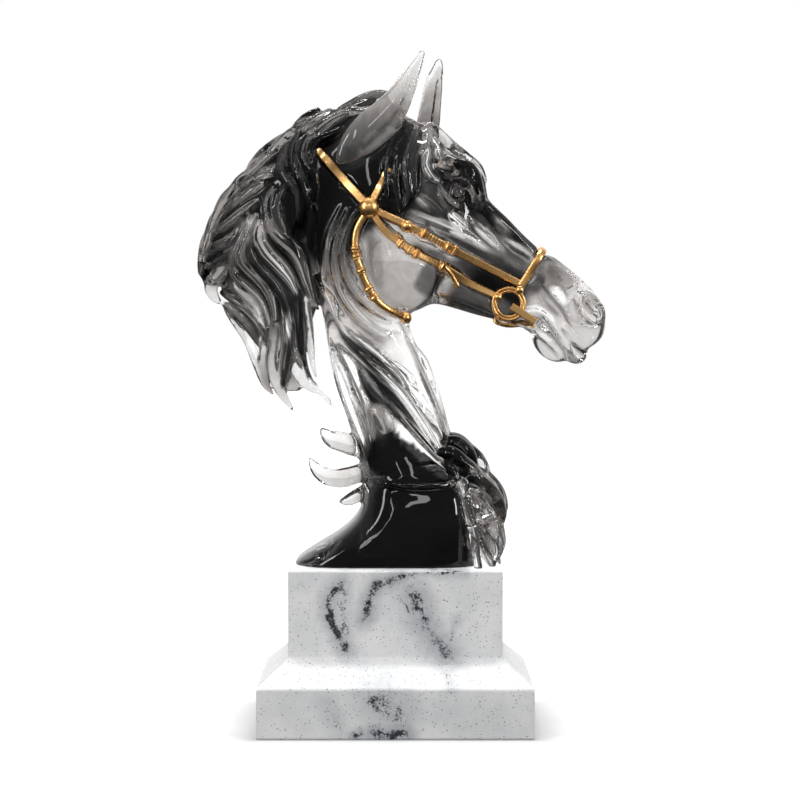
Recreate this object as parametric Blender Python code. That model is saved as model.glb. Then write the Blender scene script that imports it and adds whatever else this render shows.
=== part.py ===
"""Horse head figurine: a cast resin bust with a gilt bridle on a stepped stone-look plinth.

The bust is sculpted as clay: a grid of signed distances, in millimetres, that lofts, blobs and
locks of hair are added to and grooves are cut from. The grid is then skinned and decimated.
The horse looks along +X. The origin is the middle of the plinth's underside.
"""

import math

import bpy
import numpy as np

MM = 0.001

# Plinth
SLAB_LONG = 144.0
SLAB_DEEP = 120.0
SLAB_TALL = 26.2
LEDGE_RUN = 16.0
LEDGE_RISE = 14.1
PLINTH_TALL = 86.0
PLINTH_BEVEL = 0.9

# Bust
BUST_TALL = 274.0
DRAWN_TALL = 274.0  # the sculpt below is drawn at this height and scaled to BUST_TALL
CELL = 1.6
BUST_TRIANGLES = 6350
GAP = 0.3  # between the bust and the plinth

# Bridle
STRAP_WIDE = 4.3
STRAP_THICK = 1.9
STRAP_SUNK = 0.3  # how deep a strap lies in the resin
BALL_RADIUS = 5.2
RING_RADIUS = 7.9
RING_TUBE = 1.5
BEAD_RADIUS = 2.7
CHANNEL_GAP = 0.85  # round the bridle, in the resin
GILT = (0.75, 0.48, 0.2)

FAR = 50.0
SCALE = BUST_TALL / DRAWN_TALL

# The head is drawn along the nose (u) and up from it (v), from a point at the poll
POLL = (10.6, 233.4)
NOSE = (0.738, -0.674)
CREST = (0.674, 0.738)


def through(knots, count):
    """Points evenly spaced along the smooth curve through the knots."""
    knots = np.asarray(knots, float)
    ends = np.vstack([2 * knots[0] - knots[1], knots, 2 * knots[-1] - knots[-2]])
    along = np.linspace(0, len(knots) - 1, 8 * count)
    first = np.minimum(along.astype(int), len(knots) - 2)
    f = (along - first)[:, None]
    a, b, c, d = (ends[first + k] for k in range(4))
    fine = 0.5 * (2 * b + (c - a) * f + (2 * a - 5 * b + 4 * c - d) * f**2 + (3 * b - 3 * c + d - a) * f**3)
    steps = np.linalg.norm(np.diff(fine, axis=0), axis=1)
    length = np.concatenate([[0], np.cumsum(steps)])
    even = np.linspace(0, length[-1], count)
    return np.column_stack([np.interp(even, length, line) for line in fine.T])


def smooth_min(a, b, blend):
    h = np.clip(0.5 + 0.5 * (b - a) / blend, 0, 1)
    return b + (a - b) * h - blend * h * (1 - h)


def on_head(u, v):
    """A point of the side view, (x, z), from its place in the head's own frame."""
    return (POLL[0] + NOSE[0] * u + CREST[0] * v, POLL[1] + NOSE[1] * u + CREST[1] * v)


class Clay:
    """Signed distances on a grid, negative inside."""

    def __init__(self, low, high, cell):
        self.cell = cell
        self.axes = [np.arange(a, b, cell) for a, b in zip(low, high)]
        self.value = np.full([len(axis) for axis in self.axes], FAR, np.float32)

    def window(self, low, high):
        """The slices and the coordinates of the grid between two corners."""
        ends = [np.searchsorted(axis, (a, b)) for axis, a, b in zip(self.axes, low, high)]
        cut = tuple(slice(*pair) for pair in ends)
        x, y, z = (axis[part].astype(np.float32) for axis, part in zip(self.axes, cut))
        return cut, x[:, None, None], y[None, :, None], z[None, None, :]

    def merge(self, cut, shape, blend):
        self.value[cut] = smooth_min(self.value[cut], shape, blend)

    def carve(self, cut, shape, blend):
        self.value[cut] = -smooth_min(-self.value[cut], shape, blend)

    def skin(self, side):
        """How far the surface stands from the middle plane on one side, over the side view."""
        inside = self.value < 0
        y = self.axes[1]
        if side < 0:
            first = inside.argmax(axis=1)
        else:
            first = len(y) - 1 - inside[:, ::-1].argmax(axis=1)
        tall = np.where(inside.any(axis=1), np.abs(y[first]), 0.0)
        for _ in range(2):
            tall[1:-1, 1:-1] = (
                2 * tall[1:-1, 1:-1] + tall[:-2, 1:-1] + tall[2:, 1:-1] + tall[1:-1, :-2] + tall[1:-1, 2:]
            ) / 6
        return tall

    def sample(self, points):
        """The value at each of some points, from the nearest grid point."""
        index = []
        for axis, place in zip(self.axes, points.T):
            index.append(np.clip(np.round((place - axis[0]) / self.cell).astype(int), 0, len(axis) - 1))
        return self.value[tuple(index)]

    def look_up(self, flat, x, z):
        """A side-view map read between its grid points."""
        i = np.clip((np.asarray(x) - self.axes[0][0]) / self.cell, 0, flat.shape[0] - 1.001)
        k = np.clip((np.asarray(z) - self.axes[2][0]) / self.cell, 0, flat.shape[1] - 1.001)
        i0, k0 = i.astype(int), k.astype(int)
        fi, fk = i - i0, k - k0
        low = flat[i0, k0] * (1 - fi) + flat[i0 + 1, k0] * fi
        high = flat[i0, k0 + 1] * (1 - fi) + flat[i0 + 1, k0 + 1] * fi
        return low * (1 - fk) + high * fk


def blob(clay, centre, radii, turn=0.0, blend=3.0, cut=False):
    """An ellipsoid at (x, y, z); radii are along `turn` (degrees up from +X), across the view and up."""
    reach = max(radii) + 2 * blend + 3
    cells, x, y, z = clay.window(*[[c + s * reach for c in centre] for s in (-1, 1)])
    c, s = math.cos(math.radians(turn)), math.sin(math.radians(turn))
    dx, dy, dz = x - centre[0], y - centre[1], z - centre[2]
    along, up = c * dx + s * dz, c * dz - s * dx
    a, b, e = radii
    near = np.sqrt((along / a) ** 2 + (dy / b) ** 2 + (up / e) ** 2)
    steep = np.sqrt((along / a**2) ** 2 + (dy / b**2) ** 2 + (up / e**2) ** 2)
    shape = near * (near - 1) / np.maximum(steep, 1e-4)
    (clay.carve if cut else clay.merge)(cells, shape, blend)


def loft(clay, stations, frame, blend=3.0, power=2.4, round_ends=3.0):
    """A body along one line of the side view. A station is (place, low, high, half-width)."""
    at = through(stations, 60)
    order = np.argsort(at[:, 0])
    at = at[order]
    (ox, oz), (sx, sz), (cx, cz) = frame
    cells, x, y, z = clay.window((-1e4,) * 3, (1e4,) * 3)
    dx, dz = x - ox, z - oz
    s, c = sx * dx + sz * dz, cx * dx + cz * dz
    low, high, wide = (np.interp(s, at[:, 0], at[:, k]).astype(np.float32) for k in (1, 2, 3))
    half = (high - low) / 2
    p = np.abs(c - (high + low) / 2) / half
    q = np.abs(y) / wide
    size = np.maximum((p**power + q**power) ** (1 / power), 1e-3)
    steep = size ** (1 - power) * np.sqrt((p ** (power - 1) / half) ** 2 + (q ** (power - 1) / wide) ** 2)
    side = (size - 1) / np.maximum(steep, 1e-3)
    ends = np.maximum(s - at[-1, 0], at[0, 0] - s)
    clay.merge(cells, -smooth_min(-side, -ends, round_ends), blend)


def strand(clay, path, wide, deep, blend=1.0, cut=False):
    """A lock or a groove along path (N, 3), oval: half-widths in the side view and across it."""
    margin = 2 * blend + 2
    reach = np.maximum(wide, deep).max() + margin
    cells, x, y, z = clay.window(path.min(axis=0) - reach, path.max(axis=0) + reach)
    x0, y0, z0 = (part.start for part in cells)
    local = np.full([part.stop - part.start for part in cells], FAR, np.float32)
    for (a, b, wa, wb, da, db) in zip(path[:-1], path[1:], wide[:-1], wide[1:], deep[:-1], deep[1:]):
        near = max(wa, wb, da, db) + margin
        box, px, py, pz = clay.window(np.minimum(a, b) - near, np.maximum(a, b) + near)
        box = tuple(slice(part.start - o, part.stop - o) for part, o in zip(box, (x0, y0, z0)))
        run = b - a
        f = ((px - a[0]) * run[0] + (py - a[1]) * run[1] + (pz - a[2]) * run[2]) / max(run @ run, 1e-6)
        f = np.clip(f, 0, 1)
        dx, dy, dz = px - a[0] - f * run[0], py - a[1] - f * run[1], pz - a[2] - f * run[2]
        w, d = wa + f * (wb - wa), da + f * (db - da)
        flat, across = dx * dx + dz * dz, dy * dy
        size = np.sqrt(flat / w**2 + across / d**2)
        steep = np.sqrt(flat / w**4 + across / d**4)
        shape = size * (size - 1) / np.maximum(steep, 1e-4)
        local[box] = np.minimum(local[box], shape)
    (clay.carve if cut else clay.merge)(cells, local, blend)


TAPER = ((0, 0.55), (0.12, 0.9), (0.35, 1.0), (0.6, 0.9), (0.8, 0.62), (0.93, 0.3), (1, 0.1))
SPINDLE = ((0, 0.15), (0.15, 0.6), (0.4, 1.0), (0.65, 0.9), (0.85, 0.5), (1, 0.12))


def tapered(count, shape):
    places, sizes = zip(*shape)
    return np.interp(np.linspace(0, 1, count), places, sizes)


def lay(clay, skin, side, knots, sink, count=14):
    """A side-view route laid on the surface, sunk by `sink`."""
    flat = through(knots, count)
    tall = clay.look_up(skin, flat[:, 0], flat[:, 1])
    for _ in range(3):
        tall[1:-1] = (tall[:-2] + 2 * tall[1:-1] + tall[2:]) / 4
    return np.column_stack([flat[:, 0], side * np.maximum(tall - sink, 0), flat[:, 1]])


def fan(clay, skin, side, guides, count, wide, deep, seed, span=(0.0, 1.0), sink=1.0, wave=1.4):
    """Locks combed between guide routes, each with its own swing, width and length."""
    rng = np.random.default_rng(seed)
    routes = [through(guide, 14) for guide in guides]
    for i in range(count):
        t = span[0] + (span[1] - span[0]) * (i + 0.5 + rng.uniform(-0.15, 0.15)) / count
        place = t * (len(routes) - 1)
        first = min(int(place), len(routes) - 2)
        f = place - first
        route = routes[first] * (1 - f) + routes[first + 1] * f
        start, stop = rng.uniform(0, 0.08), rng.uniform(0.9, 1.0)
        s = np.linspace(start, stop, 14) * 13
        route = np.column_stack([np.interp(s, np.arange(14), line) for line in route.T])
        turn = np.gradient(route, axis=0)
        turn /= np.linalg.norm(turn, axis=1)[:, None]
        swing = wave * np.sin(np.linspace(0, 1, 14) * rng.uniform(5, 8) + rng.uniform(0, 6.28))
        route += np.column_stack([-turn[:, 1], turn[:, 0]]) * swing[:, None]
        path = lay(clay, skin, side, route, sink + (i % 2) * 1.8)
        size = rng.uniform(0.8, 1.15) * tapered(len(path), TAPER)
        strand(clay, path, wide * size, deep * size, blend=0.7)


def body(clay):
    """Base, neck, head and the mane's core."""
    upright = ((0, 0), (0, 1), (1, 0))
    loft(
        clay,
        (
            (-2, -54, 44.8, 36.5), (2, -53, 44.8, 36.5), (6, -48, 44.8, 36.4), (11, -40, 44.6, 36.2),
            (18, -29, 44.2, 35.6), (26, -21, 43.6, 34.6), (34, -17.5, 42.4, 33), (43, -16.5, 40, 29.5),
        ),
        upright, power=3.4, round_ends=1.5,
    )
    loft(
        clay,
        (
            (30, -14, 40, 26), (45, -16.5, 39, 26), (57, -20, 33.5, 23), (68, -23, 30.3, 21), (82, -27.5, 26.5, 19.5),
            (95, -32, 22.8, 18.5), (109, -35, 17.4, 18.5), (122, -37, 8.8, 19.5), (140, -40, 8, 20),
            (170, -44, 14, 21), (200, -38, 18, 20), (225, -24, 16, 16), (238, -10, 10, 10),
        ),
        upright, power=2.3, blend=5,
    )
    loft(
        clay,
        (
            (92, -63, -50, 4), (105, -69, -49, 7), (120, -75, -47, 9.5), (138, -86, -42, 12), (150, -95, -36, 14),
            (165, -101, -28, 16.5), (180, -95, -20, 17.5), (195, -84, -16, 17.5), (210, -70, -12, 17),
            (225, -54, -5, 14.5), (236, -40, 4, 11), (243, -24, 4, 8),
        ),
        upright, power=2.2, blend=4,
    )
    loft(
        clay,
        (
            (-14, -52, -2, 15), (0, -62, 0, 19.5), (19, -72, 2, 23), (37, -80, 3.2, 24), (51, -79, -2.6, 21.5),
            (62, -70, -3.2, 18.5), (74, -61, -3.4, 15.5), (92, -52, -3.4, 12.6), (108, -43.5, -2.6, 12.3),
            (121, -39, -1.4, 13.5), (133, -37, -2.2, 14), (141, -33, -7, 12.5), (147, -29, -14, 8.5),
        ),
        (POLL, NOSE, CREST), power=2.3, blend=4, round_ends=5,
    )


def at_head(u, v, y=0.0):
    x, z = on_head(u, v)
    return (x, y, z)


def face(clay):
    """Jowl, brow, eye, nostril and lips, on both sides."""
    nose_turn = math.degrees(math.atan2(NOSE[1], NOSE[0]))
    blob(clay, at_head(44, -59), (26, 22.5, 27), nose_turn, blend=3)
    blob(clay, at_head(132, -36), (12, 9.5, 8.5), nose_turn, blend=3)
    blob(clay, at_head(143.5, -31), (8, 9, 6.5), nose_turn, blend=2)
    blob(clay, at_head(140.5, -18), (9.5, 12.5, 11), nose_turn, blend=3)
    for side in (-1, 1):
        blob(clay, at_head(44, -60, side * 12), (21, 13, 21), nose_turn, blend=2)
        blob(clay, at_head(129.5, -11, side * 8), (13, 8.5, 9), nose_turn, blend=3)
        brow = through([at_head(26, -3, side * 19.5), at_head(38, 1, side * 20.5), at_head(50, -6, side * 17.5)], 8)
        strand(clay, brow, np.full(8, 4.5), np.full(8, 4.0), blend=4)
        crest = through([at_head(52, -24, side * 19.5), at_head(72, -25, side * 15.5), at_head(98, -27, side * 11)], 8)
        strand(clay, crest, np.full(8, 4.0), np.full(8, 3.5), blend=4)
        bone = through([at_head(56, -8, side * 12), at_head(90, -9, side * 8.5), at_head(118, -8, side * 8)], 8)
        strand(clay, bone, np.full(8, 5.0), np.full(8, 4.0), blend=4)
        blob(clay, at_head(41.5, -9.5, side * 27), (9, 5.5, 6), nose_turn - 8, blend=2, cut=True)
        blob(clay, at_head(41.5, -9, side * 20.5), (5.4, 4.2, 4.6), nose_turn, blend=0.8)
        lid = through([at_head(33, -8.5, side * 22.5), at_head(39, -3.4, side * 24.2),
                       at_head(46, -4, side * 23.2), at_head(51, -10, side * 20)], 8)
        strand(clay, lid, np.full(8, 1.5), np.full(8, 1.6), blend=1)
        under = through([at_head(33, -9.5, side * 22.5), at_head(40, -14.6, side * 23.2),
                         at_head(50, -11, side * 20)], 8)
        strand(clay, under, np.full(8, 1.4), np.full(8, 1.5), blend=1.2)
        blob(clay, at_head(133.5, -8.2, side * 17.5), (8.6, 5, 3.4), nose_turn - 10, blend=1, cut=True)
        fold = through([at_head(122, -11.5, side * 14.5), at_head(131, -15.5, side * 15.5),
                        at_head(140, -17, side * 13.5)], 8)
        strand(clay, fold, 2.4 * tapered(8, SPINDLE), 2.4 * tapered(8, SPINDLE), blend=1.2)
        mouth = through([at_head(114, -30.5, side * 13.2), at_head(128, -29.5, side * 13.2),
                         at_head(140, -27, side * 13), at_head(151, -25.5, side * 8)], 10)
        strand(clay, mouth, 1.7 * tapered(10, TAPER)[::-1] + 0.6, np.full(10, 2.4), blend=0.9, cut=True)
        jaw = through([at_head(70, -52, side * 12), at_head(90, -44, side * 10.5),
                       at_head(112, -37, side * 9)], 8)
        strand(clay, jaw, np.full(8, 4.5), np.full(8, 3.5), blend=4)


CREST_NEAR = ((-28, 238), (-41, 220), (-44, 201), (-38, 178), (-36, 150))
CREST_HALF = ((-28, 240), (-43, 231), (-59, 211), (-70, 192), (-74, 168))
CREST_EDGE = ((-24, 244), (-47, 239), (-71, 218), (-90, 197), (-101, 172))
FALL_NEAR = ((-45, 190), (-48, 162), (-46, 136), (-48, 115), (-45, 97), (-31, 84))
FALL_HALF = ((-62, 196), (-74, 174), (-72, 150), (-64, 124), (-62, 104), (-46, 88))
FALL_EDGE = ((-77, 199), (-95, 185), (-106, 163), (-99, 142), (-85, 125), (-75, 100), (-55, 79))


def hair(clay):
    """Mane, forelock, the locks at the chest and the curls at the back of the base."""
    for side in (-1, 1):
        skin = clay.skin(side)
        fan(clay, skin, side, (FALL_NEAR, FALL_HALF, FALL_EDGE), 7, 4.5, 5.6, 11 + side, sink=0.6)
        fan(clay, skin, side, (CREST_NEAR, CREST_HALF, CREST_EDGE), 7, 4.9, 6.0, 21 + side, sink=-0.2)
        ridge = through(((5, 4, 244), (-9, 4, 248), (-26, 4, 243.5), (-42, 4, 239), (-52, 4, 228)), 14)
        ridge[:, 1] *= side
        strand(clay, ridge, 4.6 * tapered(14, SPINDLE), 5.5 * tapered(14, SPINDLE))
        wavy = lay(clay, skin, side, ((-39, 242), (-50, 230), (-57, 214), (-55, 201), (-50, 190), (-53, 170)), -2)
        strand(clay, wavy, 5 * tapered(len(wavy), TAPER), 4 * tapered(len(wavy), TAPER))
        forelock(clay, skin, side)
        neck_folds(clay, skin, side)
        chest(clay, side)
    curls(clay)


def forelock(clay, skin, side):
    """Locks from the poll over the forehead."""
    routes = (
        (((10, 236), (20, 227), (29, 218), (38, 209), (43, 195)), 4.6, 6),
        (((11, 235), (18, 223), (26, 211), (35, 205), (41, 199)), 4.2, 14),
        (((12, 236), (14, 222), (16, 211), (23, 203)), 4.0, 19),
        (((9, 236), (6, 222), (1, 206), (3, 190)), 4.6, 23),
        (((5, 238), (-1, 224), (-6, 210), (-5, 196)), 4.6, 22),
    )
    for knots, wide, y in routes:
        flat = through(knots, 12)
        t = np.linspace(0, 1, 12)
        path = np.column_stack([flat[:, 0], side * (6 + (y - 6) * np.sin(t * 1.57)), flat[:, 1]])
        size = tapered(12, TAPER)
        strand(clay, path, wide * size, 3.6 * size)


def neck_folds(clay, skin, side):
    """The long twisted folds that run down the neck."""
    routes = (
        ((-34, 186), (-37, 160), (-32, 128), (-24, 97), (-19, 66)),
        ((-26, 178), (-28, 156), (-19, 130), (0, 103), (16, 72), (29, 50)),
        ((0, 126), (13, 104), (22, 78), (30, 54)),
        ((-18, 150), (-8, 122), (8, 96), (16, 72)),
    )
    for knots in routes:
        path = lay(clay, skin, side, knots, 1.2)
        size = tapered(len(path), SPINDLE)
        strand(clay, path, 4.4 * size, 3.4 * size, blend=2.5)


def chest(clay, side):
    """The mane that curls down the front of the chest."""
    for k in range(3):
        y = side * (3 + 6.5 * k)
        reach = 1 - 0.12 * k
        knots = [(22, y, 66 - 3 * k), (31, y, 59), (36.5, y, 49), (43 * reach, y, 37), (50.5 * reach, y, 24),
                 (50 * reach, y, 10), (43 * reach, y, 2)]
        path = through(knots, 14)
        path[:, 0] += 1.6 * np.sin(np.linspace(0, 11, 14) + k * 2.1)
        strand(clay, path, 6.5 * tapered(14, SPINDLE) + 1, 5.2 * tapered(14, SPINDLE) + 0.8)


def curls(clay):
    """Three curled tips that stand out from the back of the base."""
    for knots, wide in (
        (((-40.5, -6, 73), (-35, -6, 67), (-27, -5, 64.5), (-15, -4, 60)), 5.8),
        (((-47, -3, 57), (-40, -3, 48), (-29, -3, 45.5), (-14, -3, 50)), 5.4),
        (((-31, -8, 33), (-24, -8, 34.5), (-15, -7, 40)), 3.8),
    ):
        path = through(knots, 12)
        size = tapered(12, TAPER)[::-1]
        strand(clay, path, wide * size, 0.8 * wide * size, blend=2)


def ears(clay):
    """A cupped leaf on each side."""
    for side, root, tip in ((-1, (-14, 219.5), (14.4, 273.7)), (1, (7, 222), (26.5, 274))):
        t = np.linspace(0, 1, 14)
        x = root[0] + (tip[0] - root[0]) * (t + 0.03 * np.sin(np.pi * t))
        z = root[1] + (tip[1] - root[1]) * t
        path = np.column_stack([x, side * (17 - 3 * np.sin(np.pi * t)), z])
        leaf = ((0, 6), (0.13, 11.2), (0.3, 11.9), (0.45, 10.3), (0.6, 7.8), (0.75, 5.2), (0.88, 3.1), (1, 0.9))
        wide = tapered(14, leaf) * (1.0 if side < 0 else 0.8)
        strand(clay, path, wide, 0.5 * wide + 0.4, blend=2)
        cup = path[3:12] + np.array([4.5, side * 6.5, 0.5])
        strand(clay, cup, 0.5 * wide[3:12], 0.42 * wide[3:12], blend=1.2, cut=True)


def settle(value, cell):
    """Fills single corners until every cell has one run of surface through it."""
    corner = [(i, j, k) for i in (0, 1) for j in (0, 1) for k in (0, 1)]
    fine = np.zeros(256, bool)
    for case in range(256):
        whole = True
        for wanted in (0, 1):
            members = [n for n in range(8) if (case >> n & 1) == wanted]
            if members:
                seen, queue = {members[0]}, [members[0]]
                while queue:
                    here = queue.pop()
                    for there in members:
                        if there not in seen and sum(a != b for a, b in zip(corner[here], corner[there])) == 1:
                            seen.add(there)
                            queue.append(there)
                whole = whole and len(seen) == len(members)
        fine[case] = whole
    a, b, c = (n - 1 for n in value.shape)
    for _ in range(40):
        stack = [value[i : i + a, j : j + b, k : k + c] for i, j, k in corner]
        case = sum((part < 0).astype(np.uint8) << n for n, part in enumerate(stack))
        bad = np.argwhere(~fine[case])
        if not len(bad):
            return
        for i, j, k in bad:
            cell_values = [(value[i + p, j + q, k + r], (i + p, j + q, k + r)) for p, q, r in corner]
            outside = [item for item in cell_values if item[0] >= 0]
            if outside:
                value[min(outside)[1]] = -0.02 * cell


def skinned(clay):
    """The clay's surface as points and quads, one point to a cell that the surface crosses."""
    value = clay.value
    settle(value, clay.cell)
    inside = value < 0
    shape = np.array(value.shape) - 1
    total = np.zeros((*shape, 3), np.float32)
    count = np.zeros(shape, np.float32)
    for axis in range(3):
        low = [slice(None)] * 3
        high = [slice(None)] * 3
        low[axis], high[axis] = slice(None, -1), slice(1, None)
        a, b = value[tuple(low)], value[tuple(high)]
        crossed = (a < 0) != (b < 0)
        f = np.where(crossed, a / np.where(crossed, a - b, 1), 0)
        others = [n for n in range(3) if n != axis]
        for p in (0, 1):
            for q in (0, 1):
                part = [slice(None)] * 3
                part[others[0]] = slice(p, p + shape[others[0]])
                part[others[1]] = slice(q, q + shape[others[1]])
                hit, along = crossed[tuple(part)], f[tuple(part)]
                count += hit
                total[..., axis] += along
                total[..., others[0]] += p * hit
                total[..., others[1]] += q * hit
    used = count > 0
    number = np.full(shape, -1)
    number[used] = np.arange(used.sum())
    start = np.array([axis[0] for axis in clay.axes])
    points = (np.argwhere(used) + total[used] / count[used][:, None]) * clay.cell + start
    quads = []
    for axis in range(3):
        b, c = (axis + 1) % 3, (axis + 2) % 3
        low = [slice(1, -1)] * 3
        high = [slice(1, -1)] * 3
        low[axis], high[axis] = slice(None, -1), slice(1, None)
        a, d = inside[tuple(low)], inside[tuple(high)]
        for wanted, flip in ((a & ~d, False), (~a & d, True)):
            cell = np.argwhere(wanted)
            cell[:, b] += 1
            cell[:, c] += 1
            step_b, step_c = np.eye(3, dtype=int)[b], np.eye(3, dtype=int)[c]
            ring = [cell - step_b - step_c, cell - step_c, cell, cell - step_b]
            quad = np.column_stack([number[tuple(r.T)] for r in ring])
            quads.append(quad[:, ::-1] if flip else quad)
    return points, np.vstack(quads)


def largest(points, quads):
    """Only the biggest connected surface, so no crumb or sealed hollow is left."""
    label = np.arange(len(points))
    while True:
        lowest = label[quads].min(axis=1)
        new = label.copy()
        for k in range(4):
            np.minimum.at(new, quads[:, k], lowest)
        new = new[new]
        if (new == label).all():
            break
        label = new
    keep = label == np.bincount(label).argmax()
    index = np.cumsum(keep) - 1
    return points[keep], index[quads[keep[quads[:, 0]]]]


def sculpt(cell):
    clay = Clay((-112, -45, -2 * cell), (117, 45, 280), cell)
    body(clay)
    face(clay)
    hair(clay)
    ears(clay)
    fittings = harness(clay)
    clear_bridle(clay, *fittings)
    cells, x, y, z = clay.window((-1e4,) * 3, (1e4,) * 3)
    clay.value = np.maximum(clay.value, -z)
    points, quads = largest(*skinned(clay))
    points[points[:, 2] < 0.45 * cell, 2] = 0
    return points, quads, fittings


class Shells:
    """Closed swept and turned shapes gathered into one mesh."""

    def __init__(self):
        self.points, self.faces = [], []

    def add(self, points, faces):
        points = np.asarray(points, float)
        volume = 0.0
        for face in faces:
            a = points[face[0]]
            for n, m in zip(face[1:], face[2:]):
                volume += a @ np.cross(points[n], points[m])
        if volume < 0:
            faces = [face[::-1] for face in faces]
        first = len(self.points)
        self.points += points.tolist()
        self.faces += [tuple(first + n for n in face) for face in faces]

    def strap(self, strap):
        """A flat strap with chamfered outer edges."""
        path, normals = strap.path, strap.out
        run = np.gradient(path, axis=0)
        run /= np.linalg.norm(run, axis=1)[:, None]
        normals = normals - run * (normals * run).sum(axis=1)[:, None]
        normals /= np.linalg.norm(normals, axis=1)[:, None]
        across = np.cross(run, normals)
        w, t = strap.wide / 2, strap.thick / 2
        section = ((-w, -t), (w, -t), (w, 0.35 * t), (0.62 * w, t), (-0.62 * w, t), (-w, 0.35 * t))
        rings = [[p + a * b + n * c for b, c in section] for p, a, n in zip(path, across, normals)]
        count = len(section)
        faces = [tuple(range(count))[::-1], tuple((len(path) - 1) * count + k for k in range(count))]
        for i in range(len(path) - 1):
            for k in range(count):
                a, b = i * count + k, i * count + (k + 1) % count
                faces.append((a, b, b + count, a + count))
        self.add([point for ring in rings for point in ring], faces)

    def ball(self, centre, radius, flat=1.0, around=10, rows=6):
        """A ball at a point, flattened across the view."""
        r = radius
        points = [(centre[0], centre[1] - r * flat, centre[2])]
        for i in range(1, rows):
            a = math.pi * i / rows
            for k in range(around):
                b = 2 * math.pi * k / around
                points.append((centre[0] + r * math.sin(a) * math.cos(b), centre[1] - r * flat * math.cos(a),
                               centre[2] + r * math.sin(a) * math.sin(b)))
        points.append((centre[0], centre[1] + r * flat, centre[2]))
        faces, last = [], len(points) - 1
        for k in range(around):
            n = (k + 1) % around
            faces.append((0, 1 + k, 1 + n))
            faces.append((last, last - around + n, last - around + k))
            for i in range(rows - 2):
                a, b = 1 + i * around + k, 1 + i * around + n
                faces.append((a, a + around, b + around, b))
        self.add(points, faces)

    def ring(self, centre, radius, tube, around=14, rows=5):
        """A ring lying along the cheek."""
        r = tube
        points, faces = [], []
        for i in range(around):
            a = 2 * math.pi * i / around
            for k in range(rows):
                b = 2 * math.pi * (k + 0.5) / rows
                out = radius + r * math.cos(b)
                points.append((centre[0] + out * math.cos(a), centre[1] + r * math.sin(b),
                               centre[2] + out * math.sin(a)))
                j, n = (i + 1) % around, (k + 1) % rows
                faces.append((i * rows + k, i * rows + n, j * rows + n, j * rows + k))
        self.add(points, faces)


# Bridle routes over the side view, in the drawn bust's millimetres
KNOT = (-13.9, 189.6)
CROWN_STRAP = ((-42, 221), (-27, 204), KNOT)
BROW_BAND = (KNOT, (-8, 201), (-3.9, 210), (-1.3, 215))
UPPER_STRAP = (KNOT, (5, 181.8), (27, 169.7), (47.2, 159.2), (66, 149.7))
LOWER_STRAP = (KNOT, (-6.5, 178.5), (2.4, 172), (18.2, 163), (27.7, 156.5), (39.3, 149.7), (53, 143.4))
FORKED_END = ((25, 159.7), (30, 154), (33.4, 147.6))
THROAT_STRAP = (KNOT, (-20.8, 176.5), (-21.8, 167), (-20, 157), (-15.5, 147), (-8, 139), (5, 132))
UPPER_BEADS = ((4.5, 181.8), (15, 176.5), (27.2, 169.7))
LOWER_BEADS = ((2.4, 172), (14, 166), (27.5, 156.5))
THROAT_BEADS = ((-21.8, 167), (-19, 155.5), (-11, 142))
RING_AT = (59.6, 139.7)
BIT_BAR = ((61.5, 140), (74, 131.7))
CHIN_STRAP = ((54, 133), (55, 129.5), (60.8, 127), (66, 130.5), (65.5, 134))
NOSE_LOW = (65.6, 147.1)
NOSE_HIGH = (80, 171.2)


class Strap:
    """A strap's middle line, its outward directions and its section."""

    def __init__(self, path, out, wide, thick=STRAP_THICK):
        self.path, self.out, self.wide, self.thick = path, out, wide, thick

    def channel(self, clay):
        """Clears the resin round the strap."""
        count = len(self.path)
        wide = 0.7 * self.wide + CHANNEL_GAP
        deep = 0.7 * self.thick + CHANNEL_GAP
        strand(clay, self.path, np.full(count, wide), np.full(count, deep), 0.6, cut=True)


def harness(clay):
    """Every strap, ball and ring of the bridle, laid on the finished clay."""
    straps, balls, rings = [], [], []
    for side in (-1, 1):
        skin = clay.skin(side)
        slope_x, slope_z = np.gradient(skin, clay.cell)
        stand = clay.look_up(skin, [RING_AT[0]], [RING_AT[1]])[0] + RING_TUBE

        def laid(knots, count, lift=0.0):
            flat = through(knots, count)
            x, z = flat.T
            y = clay.look_up(skin, x, z) + STRAP_THICK / 2 - STRAP_SUNK + lift
            for _ in range(2):
                y[1:-1] = (y[:-2] + 2 * y[1:-1] + y[2:]) / 4
            out = np.column_stack([-clay.look_up(slope_x, x, z), np.full(count, side), -clay.look_up(slope_z, x, z)])
            return np.column_stack([x, side * y, z]), np.clip(out, -1, 1)

        for knots, count, wide in (
            (CROWN_STRAP, 5, 1.0), (BROW_BAND, 4, 0.9), (UPPER_STRAP, 8, 1.0),
            (LOWER_STRAP, 9, 1.0), (FORKED_END, 3, 0.7), (THROAT_STRAP, 10, 0.8),
        ):
            straps.append(Strap(*laid(knots, count), wide * STRAP_WIDE))
        path, _ = laid((KNOT, (5, 132)), 2, 0.8)
        balls += [(path[0], BALL_RADIUS, 0.75), (path[1], 2.8, 1.0)]
        for x, z in UPPER_BEADS + LOWER_BEADS + THROAT_BEADS:
            y = clay.look_up(skin, [x], [z])[0] + 1.4
            balls.append((np.array([x, side * y, z]), BEAD_RADIUS, 0.65))
        rings.append(np.array([RING_AT[0], side * stand, RING_AT[1]]))
        for knots, count, wide in ((BIT_BAR, 4, 4.6), (CHIN_STRAP, 8, 1.8)):
            flat = through(knots, count)
            path = np.column_stack([flat[:, 0], np.full(count, side * (stand + 0.5)), flat[:, 1]])
            straps.append(Strap(path, np.tile((0.0, side, 0.0), (count, 1)), wide, 2.4))
    straps.append(nose_band(clay))
    return straps, balls, rings


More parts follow.
